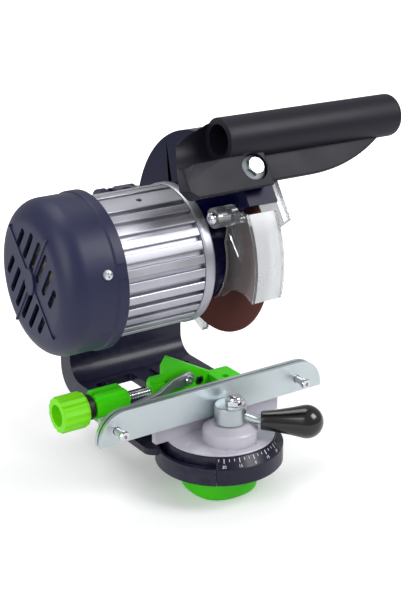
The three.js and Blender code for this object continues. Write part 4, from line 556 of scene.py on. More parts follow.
def material(name, colour, roughness, metallic=0.0, coat=0.0, grain=900.0, depth=0.02, spread=0.06,
             tint=0.12, stretch=(1, 1, 1), wear=0.0, worn=(0.6, 0.6, 0.62), ior=1.5, speck=0.0):
    """A plain finish with grain, slow patches and, where asked, specks and worn edges.

    Colours are screen colours from 0 to 1, and the depth of the grain is in millimetres.
    """
    made = bpy.data.materials.new(name)
    made.use_nodes = True
    tree = made.node_tree
    shader = tree.nodes["Principled BSDF"]
    for socket, value in (("Metallic", metallic), ("Coat Weight", coat), ("IOR", ior),
                          ("Coat Roughness", COAT_ROUGHNESS)):
        shader.inputs[socket].default_value = value
    place = tree.nodes.new("ShaderNodeTexCoord").outputs["Object"]
    surface = add(tree, "ShaderNodeGroup", set_node_tree=GRAIN, Vector=place, Stretch=stretch,
                  **{"Grain Scale": grain, "Patch Scale": PATCH_SCALE})
    base = linear(colour)
    tone = blend(tree, surface.outputs["Patch"], shaded(base, 1 - tint), shaded(base, 1 + tint))
    if speck:
        specks = mapped(tree, surface.outputs["Speck"], 0.1, 0.6, 0.0, speck)
        tone = blend(tree, specks, tone, shaded(base, SPECK_SHADE))
    gloss = mapped(tree, surface.outputs["Patch"], to_low=max(0.02, roughness - spread),
                   to_high=min(1.0, roughness + spread))
    if wear:
        edge = add(tree, "ShaderNodeGroup", set_node_tree=EDGES, Vector=place, Amount=wear)
        tone = blend(tree, edge.outputs["Mask"], tone, linear(worn))
    tree.links.new(tone, shader.inputs["Base Color"])
    tree.links.new(gloss, shader.inputs["Roughness"])
    bump = add(tree, "ShaderNodeBump", Strength=1.0, Distance=depth / 1000,
               Height=surface.outputs["Height"])
    tree.links.new(bump.outputs[0], shader.inputs["Normal"])
    return made


def clear_material(name, colour, roughness, clearness):
    """A finish that lets light through by a share."""
    made = material(name, colour, roughness, grain=300.0, depth=0.004, spread=0.02, tint=0.02, ior=1.49)
    shader = made.node_tree.nodes["Principled BSDF"]
    shader.inputs["Transmission Weight"].default_value = clearness
    return made


slate = material("slate_moulding", (0.12, 0.13, 0.25), 0.42, grain=1500, depth=0.03, tint=0.08, ior=1.4)
charcoal = material("charcoal_moulding", (0.08, 0.076, 0.125), 0.5, grain=1500, depth=0.035, tint=0.08,
                    ior=1.36)
navy_paint = material("navy_paint", (0.07, 0.065, 0.17), 0.33, coat=0.12, ior=1.4, grain=500, depth=0.03,
                      tint=0.1, wear=0.35, worn=(0.2, 0.2, 0.27))
navy_moulding = material("navy_moulding", (0.015, 0.025, 0.18), 0.26, ior=1.25, grain=1200, depth=0.012)
green = material("green_moulding", (0.27, 0.85, 0.0), 0.42, ior=1.4, grain=900, depth=0.02, tint=0.07)
lime = material("lime_moulding", (0.47, 0.88, 0.0), 0.42, ior=1.4, grain=900, depth=0.02, tint=0.07)
zinc = material("zinc_plate", (0.83, 0.865, 0.875), 0.3, metallic=1.0, grain=260, depth=0.006, tint=0.03,
                stretch=(0.25, 1, 1), spread=0.04)
zinc_sheet = material("zinc_sheet", (0.81, 0.85, 0.86), 0.42, metallic=1.0, grain=260, depth=0.006,
                      tint=0.04, stretch=(0.25, 1, 1), spread=0.04)
zinc_cast = material("zinc_casting", (0.74, 0.77, 0.79), 0.36, metallic=1.0, grain=420, depth=0.05, tint=0.1)
aluminium = material("cast_aluminium", (0.72, 0.72, 0.755), 0.42, metallic=1.0, grain=420, depth=0.07,
                     tint=0.1)
chrome = material("chrome", (0.86, 0.86, 0.88), 0.1, metallic=1.0, grain=100, depth=0.002, tint=0.03,
                  spread=0.03)
table_grey = material("table_casting", (0.765, 0.755, 0.795), 0.42, metallic=0.2, grain=420, depth=0.06,
                      tint=0.08)
abrasive = material("bonded_abrasive", (0.40, 0.19, 0.165), 0.95, grain=1100, depth=0.25, tint=0.14,
                    speck=0.5)
black_gloss = material("black_gloss", (0.035, 0.035, 0.04), 0.16, coat=0.4, grain=900, depth=0.006,
                       tint=0.05)
black_moulding = material("black_moulding", (0.07, 0.07, 0.075), 0.5, grain=1500, depth=0.03)
dark_steel = material("dark_steel", (0.36, 0.36, 0.39), 0.38, metallic=1.0, grain=300, depth=0.02,
                      stretch=(1, 0.2, 1))
laminations = material("core_laminations", (0.33, 0.33, 0.36), 0.45, metallic=1.0, grain=2500, depth=0.05,
                       stretch=(1, 0.02, 0.02))
copper = material("winding_copper", (0.70, 0.38, 0.20), 0.32, metallic=1.0, grain=900, depth=0.15,
                  stretch=(1, 0.1, 0.1))
beige = material("beige_moulding", (0.60, 0.585, 0.48), 0.55, grain=1300, depth=0.03)
ink = material("white_ink", (0.88, 0.88, 0.9), 0.55, grain=900, depth=0.004)
clear_guard_finish = clear_material("clear_guard", (0.95, 0.955, 0.96), 0.05, 0.94)
# The rim's finish lets only half the light through and shows milky white: a painted reflection of a soft
# light on the rim's outer band
rim_reflection_white_finish = clear_material("guard_rim_painted_reflection", (0.95, 0.96, 0.97), 0.28, 0.5)
clear_cover_finish = clear_material("clear_cover", (0.94, 0.95, 0.96), 0.08, 0.86)


# Placing

def piece(mesh, name, finish, body, nodes=(), at=ORIGIN, keep=32):
    """Turns a mesh in millimetres into a finished piece that rides on a body."""
    mesh.transform(Matrix.Scale(0.001, 4) @ Matrix.Translation(Vector(at) - Vector((0, FOOT_Y, 0))))
    mesh.materials.clear()
    mesh.materials.append(finish)
    for polygon in mesh.polygons:
        polygon.material_index = 0
    mesh = smooth(mesh, keep)
    mesh.name = name
    thing = bpy.data.objects.new(name, mesh)
    bpy.context.scene.collection.objects.link(thing)
    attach(thing, body)
    if nodes:
        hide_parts(*nodes)
    return thing


def dress(node, finish):
    """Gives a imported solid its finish."""
    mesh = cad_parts[node].data
    mesh.materials.clear()
    mesh.materials.append(finish)


# Camera, light and floor

# The frame's width and the focal length are in pixels, the lens in millimetres, angles in degrees
# and places in metres
FRAME_WIDTH = 401
FOCAL_PIXELS = 1240.78
SENSOR_WIDTH = 36
CAMERA_BEARING = 33.83
CAMERA_DIP = 20.40
CAMERA_PLACE = Vector((-0.53923, -0.77633 - FOOT_Y / 1000, 0.47781))
FLOOR_REACH = 6.0
FLOOR_LEVEL = -0.0414
SOFT_LIGHT = 0.42


def camera():
    lens = bpy.data.cameras.new("camera")
    lens.sensor_fit = "HORIZONTAL"
    lens.sensor_width = SENSOR_WIDTH
    lens.lens = FOCAL_PIXELS * SENSOR_WIDTH / FRAME_WIDTH
    lens.clip_end = 20
    thing = bpy.data.objects.new("camera", lens)
    thing.location = CAMERA_PLACE
    bearing, dip = turn_degrees(CAMERA_BEARING), turn_degrees(CAMERA_DIP)
    sight = Vector((math.sin(bearing) * math.cos(dip), math.cos(bearing) * math.cos(dip), -math.sin(dip)))
    thing.rotation_mode = "QUATERNION"
    thing.rotation_quaternion = sight.to_track_quat("-Z", "Y")
    bpy.context.scene.collection.objects.link(thing)
    bpy.context.scene.camera = thing


def lamp(name, place, target, size, power):
    """A rectangular soft light, in metres and watts."""
    light = bpy.data.lights.new(name, "AREA")
    light.shape = "RECTANGLE"
    light.size, light.size_y = size
    light.energy = power
    thing = bpy.data.objects.new(name, light)
    thing.location = place
    thing.rotation_mode = "QUATERNION"
    thing.rotation_quaternion = (Vector(target) - Vector(place)).to_track_quat("-Z", "Y")
    bpy.context.scene.collection.objects.link(thing)


def room():
    """A white surround that lights the object softly and shows white to the camera and through glass."""
    world = bpy.data.worlds.new("studio")
    bpy.context.scene.world = world
    world.use_nodes = True
    tree = world.node_tree
    tree.nodes.clear()
    rays = tree.nodes.new("ShaderNodeLightPath").outputs
    seen = reckoned(tree, "MAXIMUM", rays["Is Camera Ray"], rays["Is Transmission Ray"])
    light = add(tree, "ShaderNodeBackground", Color=(1, 1, 1, 1),
                Strength=mapped(tree, seen, to_low=SOFT_LIGHT, to_high=1.0))
    out = tree.nodes.new("ShaderNodeOutputWorld")
    tree.links.new(light.outputs[0], out.inputs[0])


def floor_paint():
    """Matt and pale, and for the camera brighter away from the object, so that it meets the surround."""
    paint = bpy.data.materials.new("floor")
    paint.use_nodes = True
    tree = paint.node_tree
    tree.nodes.clear()
    rays = tree.nodes.new("ShaderNodeLightPath").outputs
    matt = add(tree, "ShaderNodeBsdfDiffuse", Color=(0.86, 0.86, 0.87, 1))
    place = tree.nodes.new("ShaderNodeTexCoord").outputs["Object"]
    away = reckoned(tree, "LENGTH", place, kind="ShaderNodeVectorMath", out="Value")
    glow = reckoned(tree, "MULTIPLY", rays["Is Camera Ray"], mapped(tree, away, 0.1, 0.8, 0.2, 1.0))
    shine = add(tree, "ShaderNodeEmission", Color=(1, 1, 1, 1), Strength=glow)
    both = add(tree, "ShaderNodeAddShader", i0=matt.outputs[0], i1=shine.outputs[0])
    out = tree.nodes.new("ShaderNodeOutputMaterial")
    tree.links.new(both.outputs[0], out.inputs[0])
    return paint


def studio():
    bpy.context.scene.view_settings.view_transform = "Standard"
    room()
    lamp("key", (0.75, -1.1, 1.25), (0, 0, 0.12), (0.8, 0.8), 17)
    lamp("side", (-1.35, -0.35, 0.75), (-0.05, 0, 0.12), (0.7, 1.1), 10)
    lamp("top", (-0.1, 0.45, 1.5), (0, 0, 0.12), (1.1, 0.7), 8)
    floor = bpy.data.meshes.new("floor")
    corners = rectangle(-FLOOR_REACH, FLOOR_REACH, -FLOOR_REACH, FLOOR_REACH)
    floor.from_pydata([(x, y, FLOOR_LEVEL) for x, y in corners], [], [[0, 1, 2, 3]])
    floor.materials.append(floor_paint())
    thing = bpy.data.objects.new("floor", floor)
    bpy.context.scene.collection.objects.link(thing)


# Motor

WHEEL_R = 72.5
FIN_R = 55.0
FIN_STEP = 11.25
LAND = 107.0
FACE_X = -164.0
COVER_R = 60.0
COVER_ROUND = 18.0
COVER_WALL = 2.5
COVER_RIM_X = -115.5
SLOT_TURN = 126.0
RIB_TURN = 48.0
COVER_SCREWS = (165, 285, 405)
COVER_SCREW_X = -132.0
HOUSING_ENDS = (-122, -46)
BEARING_SEAT = 17.8
BEARING_BOSS = 22.8
STATOR_LIP = 40.7
STATOR_BORE = 45.7


def motor_housing():
    """A drawn tube with broad flat fins, set apart by narrow grooves, and one broad land."""
    floor = FIN_R - 4.6
    body = tube("x", 2 * floor + 0.6, 92, *HOUSING_ENDS, steps=128)
    half_groove = FIN_STEP * 0.36 / 2
    first, last = half_groove, FIN_STEP - half_groove
    below = FIN_R - 0.5
    outline = (arc(FIN_R, first + 0.45, last - 0.45, 6) + arc(below, last, last, 1)[:1]
               + arc(floor, last + 0.35, first - 0.35, 4) + arc(below, first, first, 1)[:1])
    fin = eased(plate("x", outline, *HOUSING_ENDS), 0.35, 2, 40)
    fins = around(fin, 32, start=LAND)
    filled = plate("x", arc(FIN_R, -half_groove - 0.6, half_groove + 0.6, 4)
                   + arc(floor - 0.5, half_groove + 0.6, -half_groove - 0.6, 4), *HOUSING_ENDS)
    land = spun(filled, X, LAND)
    hole = spun(rod("y", 4.4, FIN_R - 6, FIN_R + OVER, -80, 0, 32), X, LAND)
    whole = gathered(body, fins, cut(land, hole))
    piece(whole, "finned_housing", aluminium, "head", ["motor_housing"], HEAD, keep=25)
    screw = turned("y", [(0, 0), (2, 0), (2, 1.4), (1.4, 2.0), (0, 2.0)], 32)
    screw = spun(moved(screw, -80, FIN_R - 4.6, 0), X, LAND)
    piece(screw, "housing_set_screw", dark_steel, "head", at=HEAD)


def cover_screw_bore():
    return rod("y", 4.6, 46, 63, COVER_SCREW_X, 0, 24)


def end_shields():
    rim, back = 55.8, -36.0
    front = turned("x", [
        (8, back), (20, back), (21, back - 0.6), (rim - 3, back - 0.6), (rim - 1.4, back - 0.4),
        (rim - 0.4, back - 1.2), (rim, back - 2.4), (rim, -43.6), (rim - 0.5, -44.6), (rim - 0.5, -45.7),
        (STATOR_BORE, -45.7), (STATOR_BORE, -49.7), (STATOR_LIP, -49.7), (STATOR_LIP, -41),
        (BEARING_BOSS, -41), (BEARING_BOSS, -52), (BEARING_SEAT, -52), (BEARING_SEAT, -40.7),
        (8, -40.7)], 144)
    piece(eased(front, 0.5, 2, 30), "front_shield", aluminium, "head", ["front_end_shield"], HEAD)
    rim = 56.9
    rear = turned("x", [
        (8, -138), (18, -138), (18, -137), (rim - 2, -137), (rim, -135.5), (rim, -122.3),
        (STATOR_BORE, -122.3), (STATOR_BORE, -118.3), (STATOR_LIP, -118.3), (STATOR_LIP, -133),
        (BEARING_BOSS, -133), (BEARING_BOSS, -122), (BEARING_SEAT, -122), (BEARING_SEAT, -133.3),
        (8, -133.3)], 144)
    holes = [spun(cover_screw_bore(), X, angle) for angle in COVER_SCREWS]
    piece(eased(cut(rear, *holes), 0.5, 2, 30), "rear_shield", aluminium, "head", ["rear_end_shield"], HEAD)
    head = turned("x", [(0, -141.5), (2.6, -141.5), (3.6, -140.8), (3.8, -138.2), (0, -138.2)], 28)
    head = crossed(head, block(-142.5, -140.7, -3.9, 3.9, -0.5, 0.5), X)
    screws = around(moved(head, 0, 50.2, 0), 4, start=LAND + FIN_STEP / 2)
    piece(screws, "end_shield_screws", zinc, "head", at=HEAD)


def stadium(low, high, width):
    """A slot with round ends that runs along the first of its two directions."""
    half = width / 2
    return arc(half, -90, 90, 8, high - half, 0) + arc(half, 90, 270, 8, low + half, 0)


def fan_cover():
    flat = COVER_R - COVER_ROUND
    band = COVER_R + 1.2
    band_left = COVER_RIM_X - 8
    round_x = FACE_X + COVER_ROUND
    outer = [(r, x) for x, r in arc(COVER_ROUND, 180, 90, 20, round_x, flat)]
    inner = [(r, x) for x, r in arc(COVER_ROUND - COVER_WALL, 90, 180, 10, round_x, flat)]
    shell = turned("x", [
        (0, FACE_X), *outer, (COVER_R, band_left - 1.6), (band - 0.3, band_left - 0.4),
        (band, band_left + 0.2), (band, COVER_RIM_X - 0.6), (band - 0.6, COVER_RIM_X),
        (COVER_R - COVER_WALL + 0.3, COVER_RIM_X), *inner, (0, FACE_X + COVER_WALL)], 180)
    boss = plate("x", [(y, z * 1.5) for y, z in ring(7, 64)], FACE_X - 2, FACE_X + 1)
    long_half = flat + COVER_ROUND / 3
    rib = eased(block(FACE_X - 0.8, FACE_X + 1, -long_half, long_half, -1, 1), 0.3, 2)
    slot_field, slot_pitch, slot_width, slot_start = 40, 11.6, 5.4, 6.5
    slots = []
    for row in (0.5, 1.5, 2.5):
        along = row * slot_pitch
        reach = math.sqrt(slot_field * slot_field - along * along) - 2
        outline = stadium(slot_start, reach, slot_width)
        slot = plate("x", outline, FACE_X - OVER, FACE_X + COVER_WALL + OVER)
        slots.append(moved(slot, 0, 0, along))
    quarter = gathered(*slots)
    mirrored = quarter.copy()
    mirrored.transform(Matrix.Scale(-1, 4, Z))
    mirrored.flip_normals()
    half = gathered(quarter, mirrored)
    tool = spun(around(half, 2), X, SLOT_TURN)
    notch = block(band_left - 1.2 - OVER, COVER_RIM_X + OVER, COVER_R + 0.05, band + OVER, -6, 6)
    notches = around(notch, 3, start=COVER_SCREWS[0])
    bores = around(cover_screw_bore(), 3, start=COVER_SCREWS[0])
    body = cut(shell, tool, notches, bores)
    body = eased(body, 0.45, 2, 35)
    ribs = [spun(rib, X, RIB_TURN), spun(rib, X, SLOT_TURN)]
    body = gathered(body, eased(boss, 0.7, 3), *ribs)
    piece(body, "vented_cover", slate, "head", ["fan_cover"], HEAD, keep=30)


def cover_screws():
    top = COVER_R + 1.2
    cap = turned("y", [(0, top + 1.4), (2.4, top + 1.2), (3.6, top + 0.4), (4, top - 0.9), (2, top - 0.9),
                       (2, 50), (0, 50)], 40)
    cap = crossed(cap, block(-2.4, 2.4, top + 0.2, top + 3, -0.5, 0.5), Y)
    for i, angle in enumerate(COVER_SCREWS):
        screw = spun(moved(cap, COVER_SCREW_X, 0, 0), X, angle)
        piece(screw, f"cover_screw_{i + 1}", zinc, "head", [f"fan_cover_screw_{i + 1}"], HEAD)


def cooling_fan():
    back = -138 - 2.8
    front = back - 11
    hub = turned("x", [(5.3, front), (12.4, front), (13, front + 0.6), (13, back - 1), (15, back),
                       (49, back), (49, back + 2), (5.3, back + 2)], 96)
    blade = plate("x", [(12, -1), (30, 1.2), (48, 6.5), (48, 8.5), (30, 3.2), (12, 1)], front + 2, back + 1)
    piece(gathered(eased(hub, 0.4, 2), around(eased(blade, 0.3, 2), 9)), "fan_blades", beige, "rotor",
          ["cooling_fan"], HEAD)


def inner_motor():
    for node, finish in (("stator_core", laminations), ("rotor_core", laminations),
                         ("stator_windings", copper), ("front_bearing", zinc), ("rear_bearing", zinc),
                         ("rotor_shaft", dark_steel), ("capacitor", aluminium)):
        dress(node, finish)


# Wheel and its casing

CASING_R = 93.4
CASING_L = -17.0
CASING_RIGHT = 9.0
CASING_WALL = 2.6
FACET_TURN = 145.2
FACET_AT = 86.0
FLAT_TURN = 120.4
FLAT_AT = 88.6
PIVOT_Y = -49.1
PIVOT_Z = 39.0
HINGE_Y = 150.5
HINGE_Z = 2.0
HINGE_BORE = 10.6
SPRING_R = 9.6
SPRING_WIRE_R = 1.0
HANDLE_BOLT_BORE = 8.6
ARM_L = -14.5
ARM_R = 6.5
DEPTH_X, DEPTH_Y = -4, 140
PIVOT_BOSS = 16
PIVOT_BORE = 5.6
CASING_SCREWS = (95, 28, -30)
CASING_SCREW_R = 86.0
BOLT_X = -9.0
BOLT_S = 27.5


def on_facet(mesh):
    """Y of the mesh runs up along the casing's front facet, and Z away from the motor axis."""
    cosine, sine = math.cos(turn_degrees(FACET_TURN)), math.sin(turn_degrees(FACET_TURN))
    copy = mesh.copy()
    copy.transform(Matrix(((1, 0, 0, 0), (0, sine, cosine, 0), (0, -cosine, sine, 0), (0, 0, 0, 1))))
    return copy


def half_space(angle, distance, left, right):
    return spun(block(left, right, -400, distance, -400, 400), X, angle)


def under_flats(mesh, inset, left, right):
    """Keeps what lies under the two flats of the casing."""
    return common(mesh, half_space(FACET_TURN, FACET_AT - inset, left - OVER, right + OVER),
                  half_space(FLAT_TURN, FLAT_AT - inset, left - OVER, right + OVER))


def casing_edge(inset):
    """The outer line of the casing from its rear end to its front end, over the two flats."""
    points = []
    steps, first = 240, -38
    last = FACET_TURN - math.degrees(math.atan2(1.4, FACET_AT - inset))
    for i in range(steps + 1):
        angle = first + (last - first) * i / steps
        reach = CASING_R - inset
        for turn, distance in ((FACET_TURN, FACET_AT), (FLAT_TURN, FLAT_AT)):
            share = math.cos(turn_degrees(angle - turn))
            if share > 0.3:
                reach = min(reach, (distance - inset) / share)
        points.append((reach * math.cos(turn_degrees(angle)), reach * math.sin(turn_degrees(angle))))
    return points


def hex_nut(across_flats, bore, low, high, radii, tips):
    """A nut along X, its corners taken off by two cones that would meet the axis at the tips."""
    chamfer = 1.5
    small, large = radii
    nut = cut(plate("x", hexagon(across_flats), low, high), rod("x", bore, tips[0], tips[1] + 1))
    crown = turned("x", [(0, tips[0]), (small, low), (large, low + chamfer), (large, high - chamfer),
                         (small, high), (0, tips[1])], 64)
    return eased(common(nut, crown), 0.25, 2)


def wheel():
    half, bore, spigot, flange = 1.6, 6.3, 10.85, 20
    seat = half + GAP
    disc = turned("x", [(spigot + GAP, -half), (WHEEL_R - 0.5, -half), (WHEEL_R, 0.5 - half),
                        (WHEEL_R, half - 0.5), (WHEEL_R - 0.5, half), (spigot + GAP, half)], 200)
    piece(disc, "abrasive_disc", abrasive, "rotor", ["grinding_wheel"], HEAD)
    inner = turned("x", [(bore, -13.4), (spigot, -13.4), (spigot, -5.4), (flange - 0.7, -5.4), (flange, -4.7),
                         (flange, -seat), (spigot, -seat), (spigot, half), (bore, half)], 96)
    piece(eased(inner, 0.2, 2), "wheel_flange_inner", zinc, "rotor", ["inner_flange"], HEAD)
    outer = turned("x", [(bore, seat), (flange, seat), (flange, 4.6), (flange - 0.8, 5.4), (13, 5.4),
                         (12.4, 4.9), (bore, 4.9)], 96)
    piece(outer, "wheel_flange_outer", zinc, "rotor", ["outer_flange"], HEAD)
    nut = hex_nut(19, 2 * bore, 5.7, 11.7, (9.4, 11.3), (4, 13))
    piece(nut, "arbor_nut", zinc, "rotor", ["wheel_nut"], HEAD)


def casing_screw_holes(width, low, high):
    """The holes of the screws that hold the side cover to the casing."""
    hole = rod("x", width, low, high, CASING_SCREW_R, 0, 32)
    return [spun(hole, X, angle) for angle in CASING_SCREWS]


def wheel_casing():
    """One casting. Its parts' flat faces are sunk by a little more each, so that no two lie in one plane."""
    left, right = CASING_L, CASING_RIGHT
    wall_right = left + CASING_WALL
    inner = CASING_R - CASING_WALL
    sink = 0.04
    neck_left, pad_low = -35.7, 78.3
    rim = plate("x", casing_edge(0) + casing_edge(CASING_WALL)[::-1], left, right)
    disc = plate("x", [(0, 0)] + casing_edge(1)[1:-1] + [(0.8, 1.15)], left + sink, wall_right)
    neck = rod("x", 84, neck_left, wall_right - sink, steps=128)
    saddle = plate("x", sector(38, 53.7, 40, 143, 48), neck_left + sink, wall_right - 2 * sink)
    lug = rod("x", PIVOT_BOSS, left, wall_right - 3 * sink, PIVOT_Y, PIVOT_Z)
    link = plate("x", [(PIVOT_Y, PIVOT_Z - 7.9), (PIVOT_Y + 16, PIVOT_Z - 4), (PIVOT_Y + 16, PIVOT_Z + 32),
                       (PIVOT_Y - 8, PIVOT_Z + 16)], left + 2 * sink, wall_right - 4 * sink)
    deep, high = 36, 24
    edge = math.sqrt(inner * inner - deep * deep)
    arm = join(plate("x", [(edge, -deep), (HINGE_Y, HINGE_Z - 12), (HINGE_Y, HINGE_Z + 12), (edge, high)],
                     ARM_L + sink, ARM_R - sink), rod("x", 24, ARM_L, ARM_R, HINGE_Y, HINGE_Z, 90))
    arm = cut(arm, rod("x", 2 * inner + 1, -40, 40, steps=160))
    bosses = [spun(rod("x", 9, left + 1, right, CASING_SCREW_R, 0, 40), X, a) for a in CASING_SCREWS]
    pad = common(on_facet(rod("z", 21, pad_low, FACET_AT - sink, BOLT_X, BOLT_S)),
                 half_space(FLAT_TURN, FLAT_AT - sink, left + 0.5, right + OVER))
    whole = join(rim, disc, neck, saddle, lug, link, arm, pad, *bosses)
    pocket_low, pocket_high = ARM_L - OVER, ARM_L + 11.3
    pocket = tube("x", 25, 14.4, pocket_low, pocket_high, HINGE_Y, HINGE_Z)
    leg_z, leg_room = HINGE_Z + SPRING_R, SPRING_WIRE_R + GAP
    groove = block(pocket_low, ARM_L + 4, HINGE_Y - 24.3, HINGE_Y, leg_z - leg_room, leg_z + leg_room)
    nut_pocket = on_facet(plate("z", hexagon(14.1, BOLT_X, BOLT_S, 30), 66, pad_low))
    whole = cut(whole, rod("x", 72, -40, left - CASING_WALL, steps=96),
                rod("x", 32, -36, wall_right + OVER, steps=96),
                rod("x", HINGE_BORE, ARM_L - OVER, ARM_R + OVER, HINGE_Y, HINGE_Z), pocket, groove,
                nut_pocket, rod("z", 8.6, -90, 90, DEPTH_X, DEPTH_Y - HEAD.y),
                on_facet(rod("z", HANDLE_BOLT_BORE, 0, FACET_AT + OVER, BOLT_X, BOLT_S)),
                rod("x", PIVOT_BORE, left - OVER, wall_right + OVER, PIVOT_Y, PIVOT_Z),
                *casing_screw_holes(4.2, wall_right, right + OVER))
    piece(eased(whole, 0.7, 3, 34), "casing_shell", navy_moulding, "head", ["wheel_casing"], HEAD, keep=34)


def side_cover():
    left, right = 9.3, 15.3
    wall = 2.4

    def outline(inset):
        return (arc(CASING_R - inset, -70 + inset / 2, FACET_TURN + 9, 120)
                + arc(38 + inset, FACET_TURN + 25, 290 + inset / 2, 48))

    def trimmed(low, high, inset):
        return under_flats(plate("x", outline(inset), low, high), inset, low, high)

    solid = trimmed(left, right, 0)
    dish = cut(solid, trimmed(left - OVER, right - wall, wall))
    boss = rod("x", 9, left, right, CASING_SCREW_R, 0, 40)
    dish = join(dish, *[common(spun(boss, X, a), solid) for a in CASING_SCREWS])
    dish = cut(dish, *casing_screw_holes(4.6, left - OVER, right + OVER))
    dish = eased(dish, 0.8, 3, 34)
    piece(dish, "clear_side_cover", clear_cover_finish, "head", ["side_cover"], HEAD, keep=34)
    face = right + GAP
    screw = turned("x", [(0, face - 16), (1.7, face - 16), (1.7, face), (4, face), (4, face + 0.8),
                         (2.9, face + 1.9), (0, face + 2.1)], 32)
    screw = crossed(screw, block(face + 1.1, face + 4, -2.3, 2.3, -0.45, 0.45), X)
    screw = moved(screw, 0, CASING_SCREW_R, 0)
    for i, angle in enumerate(CASING_SCREWS):
        piece(spun(screw, X, angle), f"side_cover_screw_{i + 1}", zinc, "head",
              [f"casing_screw_{i + 1}"], HEAD)


def handle():
    tube_n, tube_s, half = 92.0, 53.5, 17.0
    left, right = -28.0, 140.0
    low = tube_s - half
    foot, rise, shoulder, corner = 11.0, 5.7, 23.6, 6.0
    face, back, seat = 98.0, 74.0, 86.3
    block_l, block_r = -71.0, 4.0
    body = on_facet(hull([
        (block_r, foot, face), (block_l + corner, foot, face), (block_l, foot + rise, face),
        (block_l, shoulder, face), (left - corner - 0.3, low, face), (block_r, low, face),
        (block_r, foot + rise, seat), (block_r, tube_s, seat), (block_l + 2 * corner, foot + rise, back),
        (block_l + corner / 2, shoulder, back + corner), (block_l + half - 0.3, tube_s + half / 2, back),
        (left, tube_s + half - 0.3, back), (left, tube_s + half - 0.5, tube_n),
        (CASING_L - 0.5, foot + rise, back)]))
    body = eased(body, 1.6, 4, 20)
    body = cut(body, on_facet(rod("x", 2 * half + 0.3, block_l - OVER, left, tube_s, tube_n, 96)))
    grip = turned("x", [(0, left), (half - 0.5, left), (half, left + 0.5),
                        *[(r, x) for x, r in arc(5, 90, 0, 10, right - 5, half - 5)], (0, right)], 128)
    grip = on_facet(moved(grip, 0, tube_s, tube_n))
    web_low = foot + rise - 0.2
    edge = bent((right / 3, web_low), (right * 0.68, foot + 6), (right - 5, low + 10), 16)
    web = plate("z", [(block_r - corner, web_low), *edge, (right - 10, tube_s), (block_r - corner, tube_s)],
                87, 92)
    web = on_facet(eased(web, 1.2, 4, 40))
    whole = join(body, grip, web)
    bore = on_facet(rod("x", 24.4, left - OVER, right - 6, tube_s, tube_n, 96))
    space_l, space_r = CASING_L - RUN, 15.8
    drum = rod("x", 2 * (CASING_R + GAP), space_l, space_r, steps=160)
    space = under_flats(drum, -GAP, space_l, space_r)
    sink = on_facet(rod("z", 22, 94.5, 101, BOLT_X, BOLT_S, 64))
    drill = on_facet(rod("z", HANDLE_BOLT_BORE, 0, 101, BOLT_X, BOLT_S))
    whole = cut(whole, bore, space, sink, drill)
    piece(eased(whole, 0.5, 2, 38), "handle_grip", charcoal, "head", ["handle"], HEAD, keep=35)
    floor = 94.8
    bolt = turned("z", [(0, 70.3), (3.6, 70.3), (4, 70.8), (4, floor), (9.5, floor), (9.5, floor + 0.9),
                        (8.2, floor + 1.5), (6.9, floor + 2.2), (6.2, floor + 2.4), (0, floor + 2.4)], 64)
    top = floor + 6
    crown = turned("z", [(0, floor), (7.6, floor), (7.6, top - 1.1), (6.3, top), (0, top)], 64)
    hex_head = common(plate("z", hexagon(13, 0, 0, 12), floor + 1, top), crown)
    hex_head = cut(hex_head, tube("z", 10.4, 8.4, top - 0.4, top + 1), rod("z", 4.2, top - 0.5, top + 1))
    bolt = gathered(bolt, eased(hex_head, 0.2, 2))
    bolt = on_facet(moved(bolt, BOLT_X, BOLT_S, 0))
    piece(bolt, "handle_fixing_bolt", zinc_cast, "head", ["handle_bolt"], HEAD)
    dress("handle_nut", zinc)


GUARD_BOSS = 18


def clear_guard():
    radius, wall, sheet = 82.0, 2.2, 2.4
    plate_l, plate_r = CASING_L - 0.3 - sheet, CASING_L - 0.3
    right = 8.0
    start, end = FACET_TURN + 2.6, 197.0
    rim = plate("x", sector(radius - wall, radius, start, end, 60), plate_r + 0.1, right - sheet - 0.1)
    lower_edge_shares = [(-0.84, -0.235), (-0.74, -0.232), (-0.64, -0.245), (-0.57, -0.285), (-0.5, -0.34),
                         (-0.43, -0.385), (-0.35, -0.42)]
    side = plate("x", arc(radius, start, end, 60) + [(radius * y, radius * z) for y, z in lower_edge_shares]
                 + arc(44, 232, 160, 40) + [(PIVOT_Y + 4, PIVOT_Z - 8), (PIVOT_Y + 4, PIVOT_Z + 5.3)],
                 plate_l, plate_r)
    far_side = plate("x", sector(radius * 0.86, radius, start, end, 60), right - sheet, right)
    boss = rod("x", PIVOT_BOSS, plate_r - GUARD_BOSS, plate_r, PIVOT_Y, PIVOT_Z, 64)
    top = turn_degrees(start + 1)
    top_y, top_z = radius * math.cos(top), radius * math.sin(top)
    rib = plate("x", [(PIVOT_Y, PIVOT_Z - 2), (PIVOT_Y, PIVOT_Z + 2), (top_y + 2, top_z),
                      (top_y + 2, top_z - 4)], plate_l - 5, plate_r)
    gusset = plate("x", [(PIVOT_Y - 5.3, PIVOT_Z - 5.3), (PIVOT_Y + 5.3, PIVOT_Z - 5.3),
                         (PIVOT_Y - 16, PIVOT_Z - 32)], plate_l - 2.5, plate_r)
    whole = join(side, boss, rib, gusset)
    whole = cut(whole, rod("x", PIVOT_BORE, plate_r - GUARD_BOSS - OVER, plate_r + OVER, PIVOT_Y, PIVOT_Z))
    whole = eased(whole, 0.45, 2, 34)
    piece(whole, "guard_shield", clear_guard_finish, "guard", ["clear_guard"], HEAD, keep=34)
    # The rim gets the milky white finish, a painted reflection of a soft light on its outer band; the far
    # side stays clear
    for mesh, width, name, finish in ((rim, 0.3, "guard_rim", rim_reflection_white_finish),
                                      (far_side, 0.45, "guard_far_side", clear_guard_finish)):
        piece(eased(mesh, width, 2, 34), name, finish, "guard", at=HEAD, keep=34)


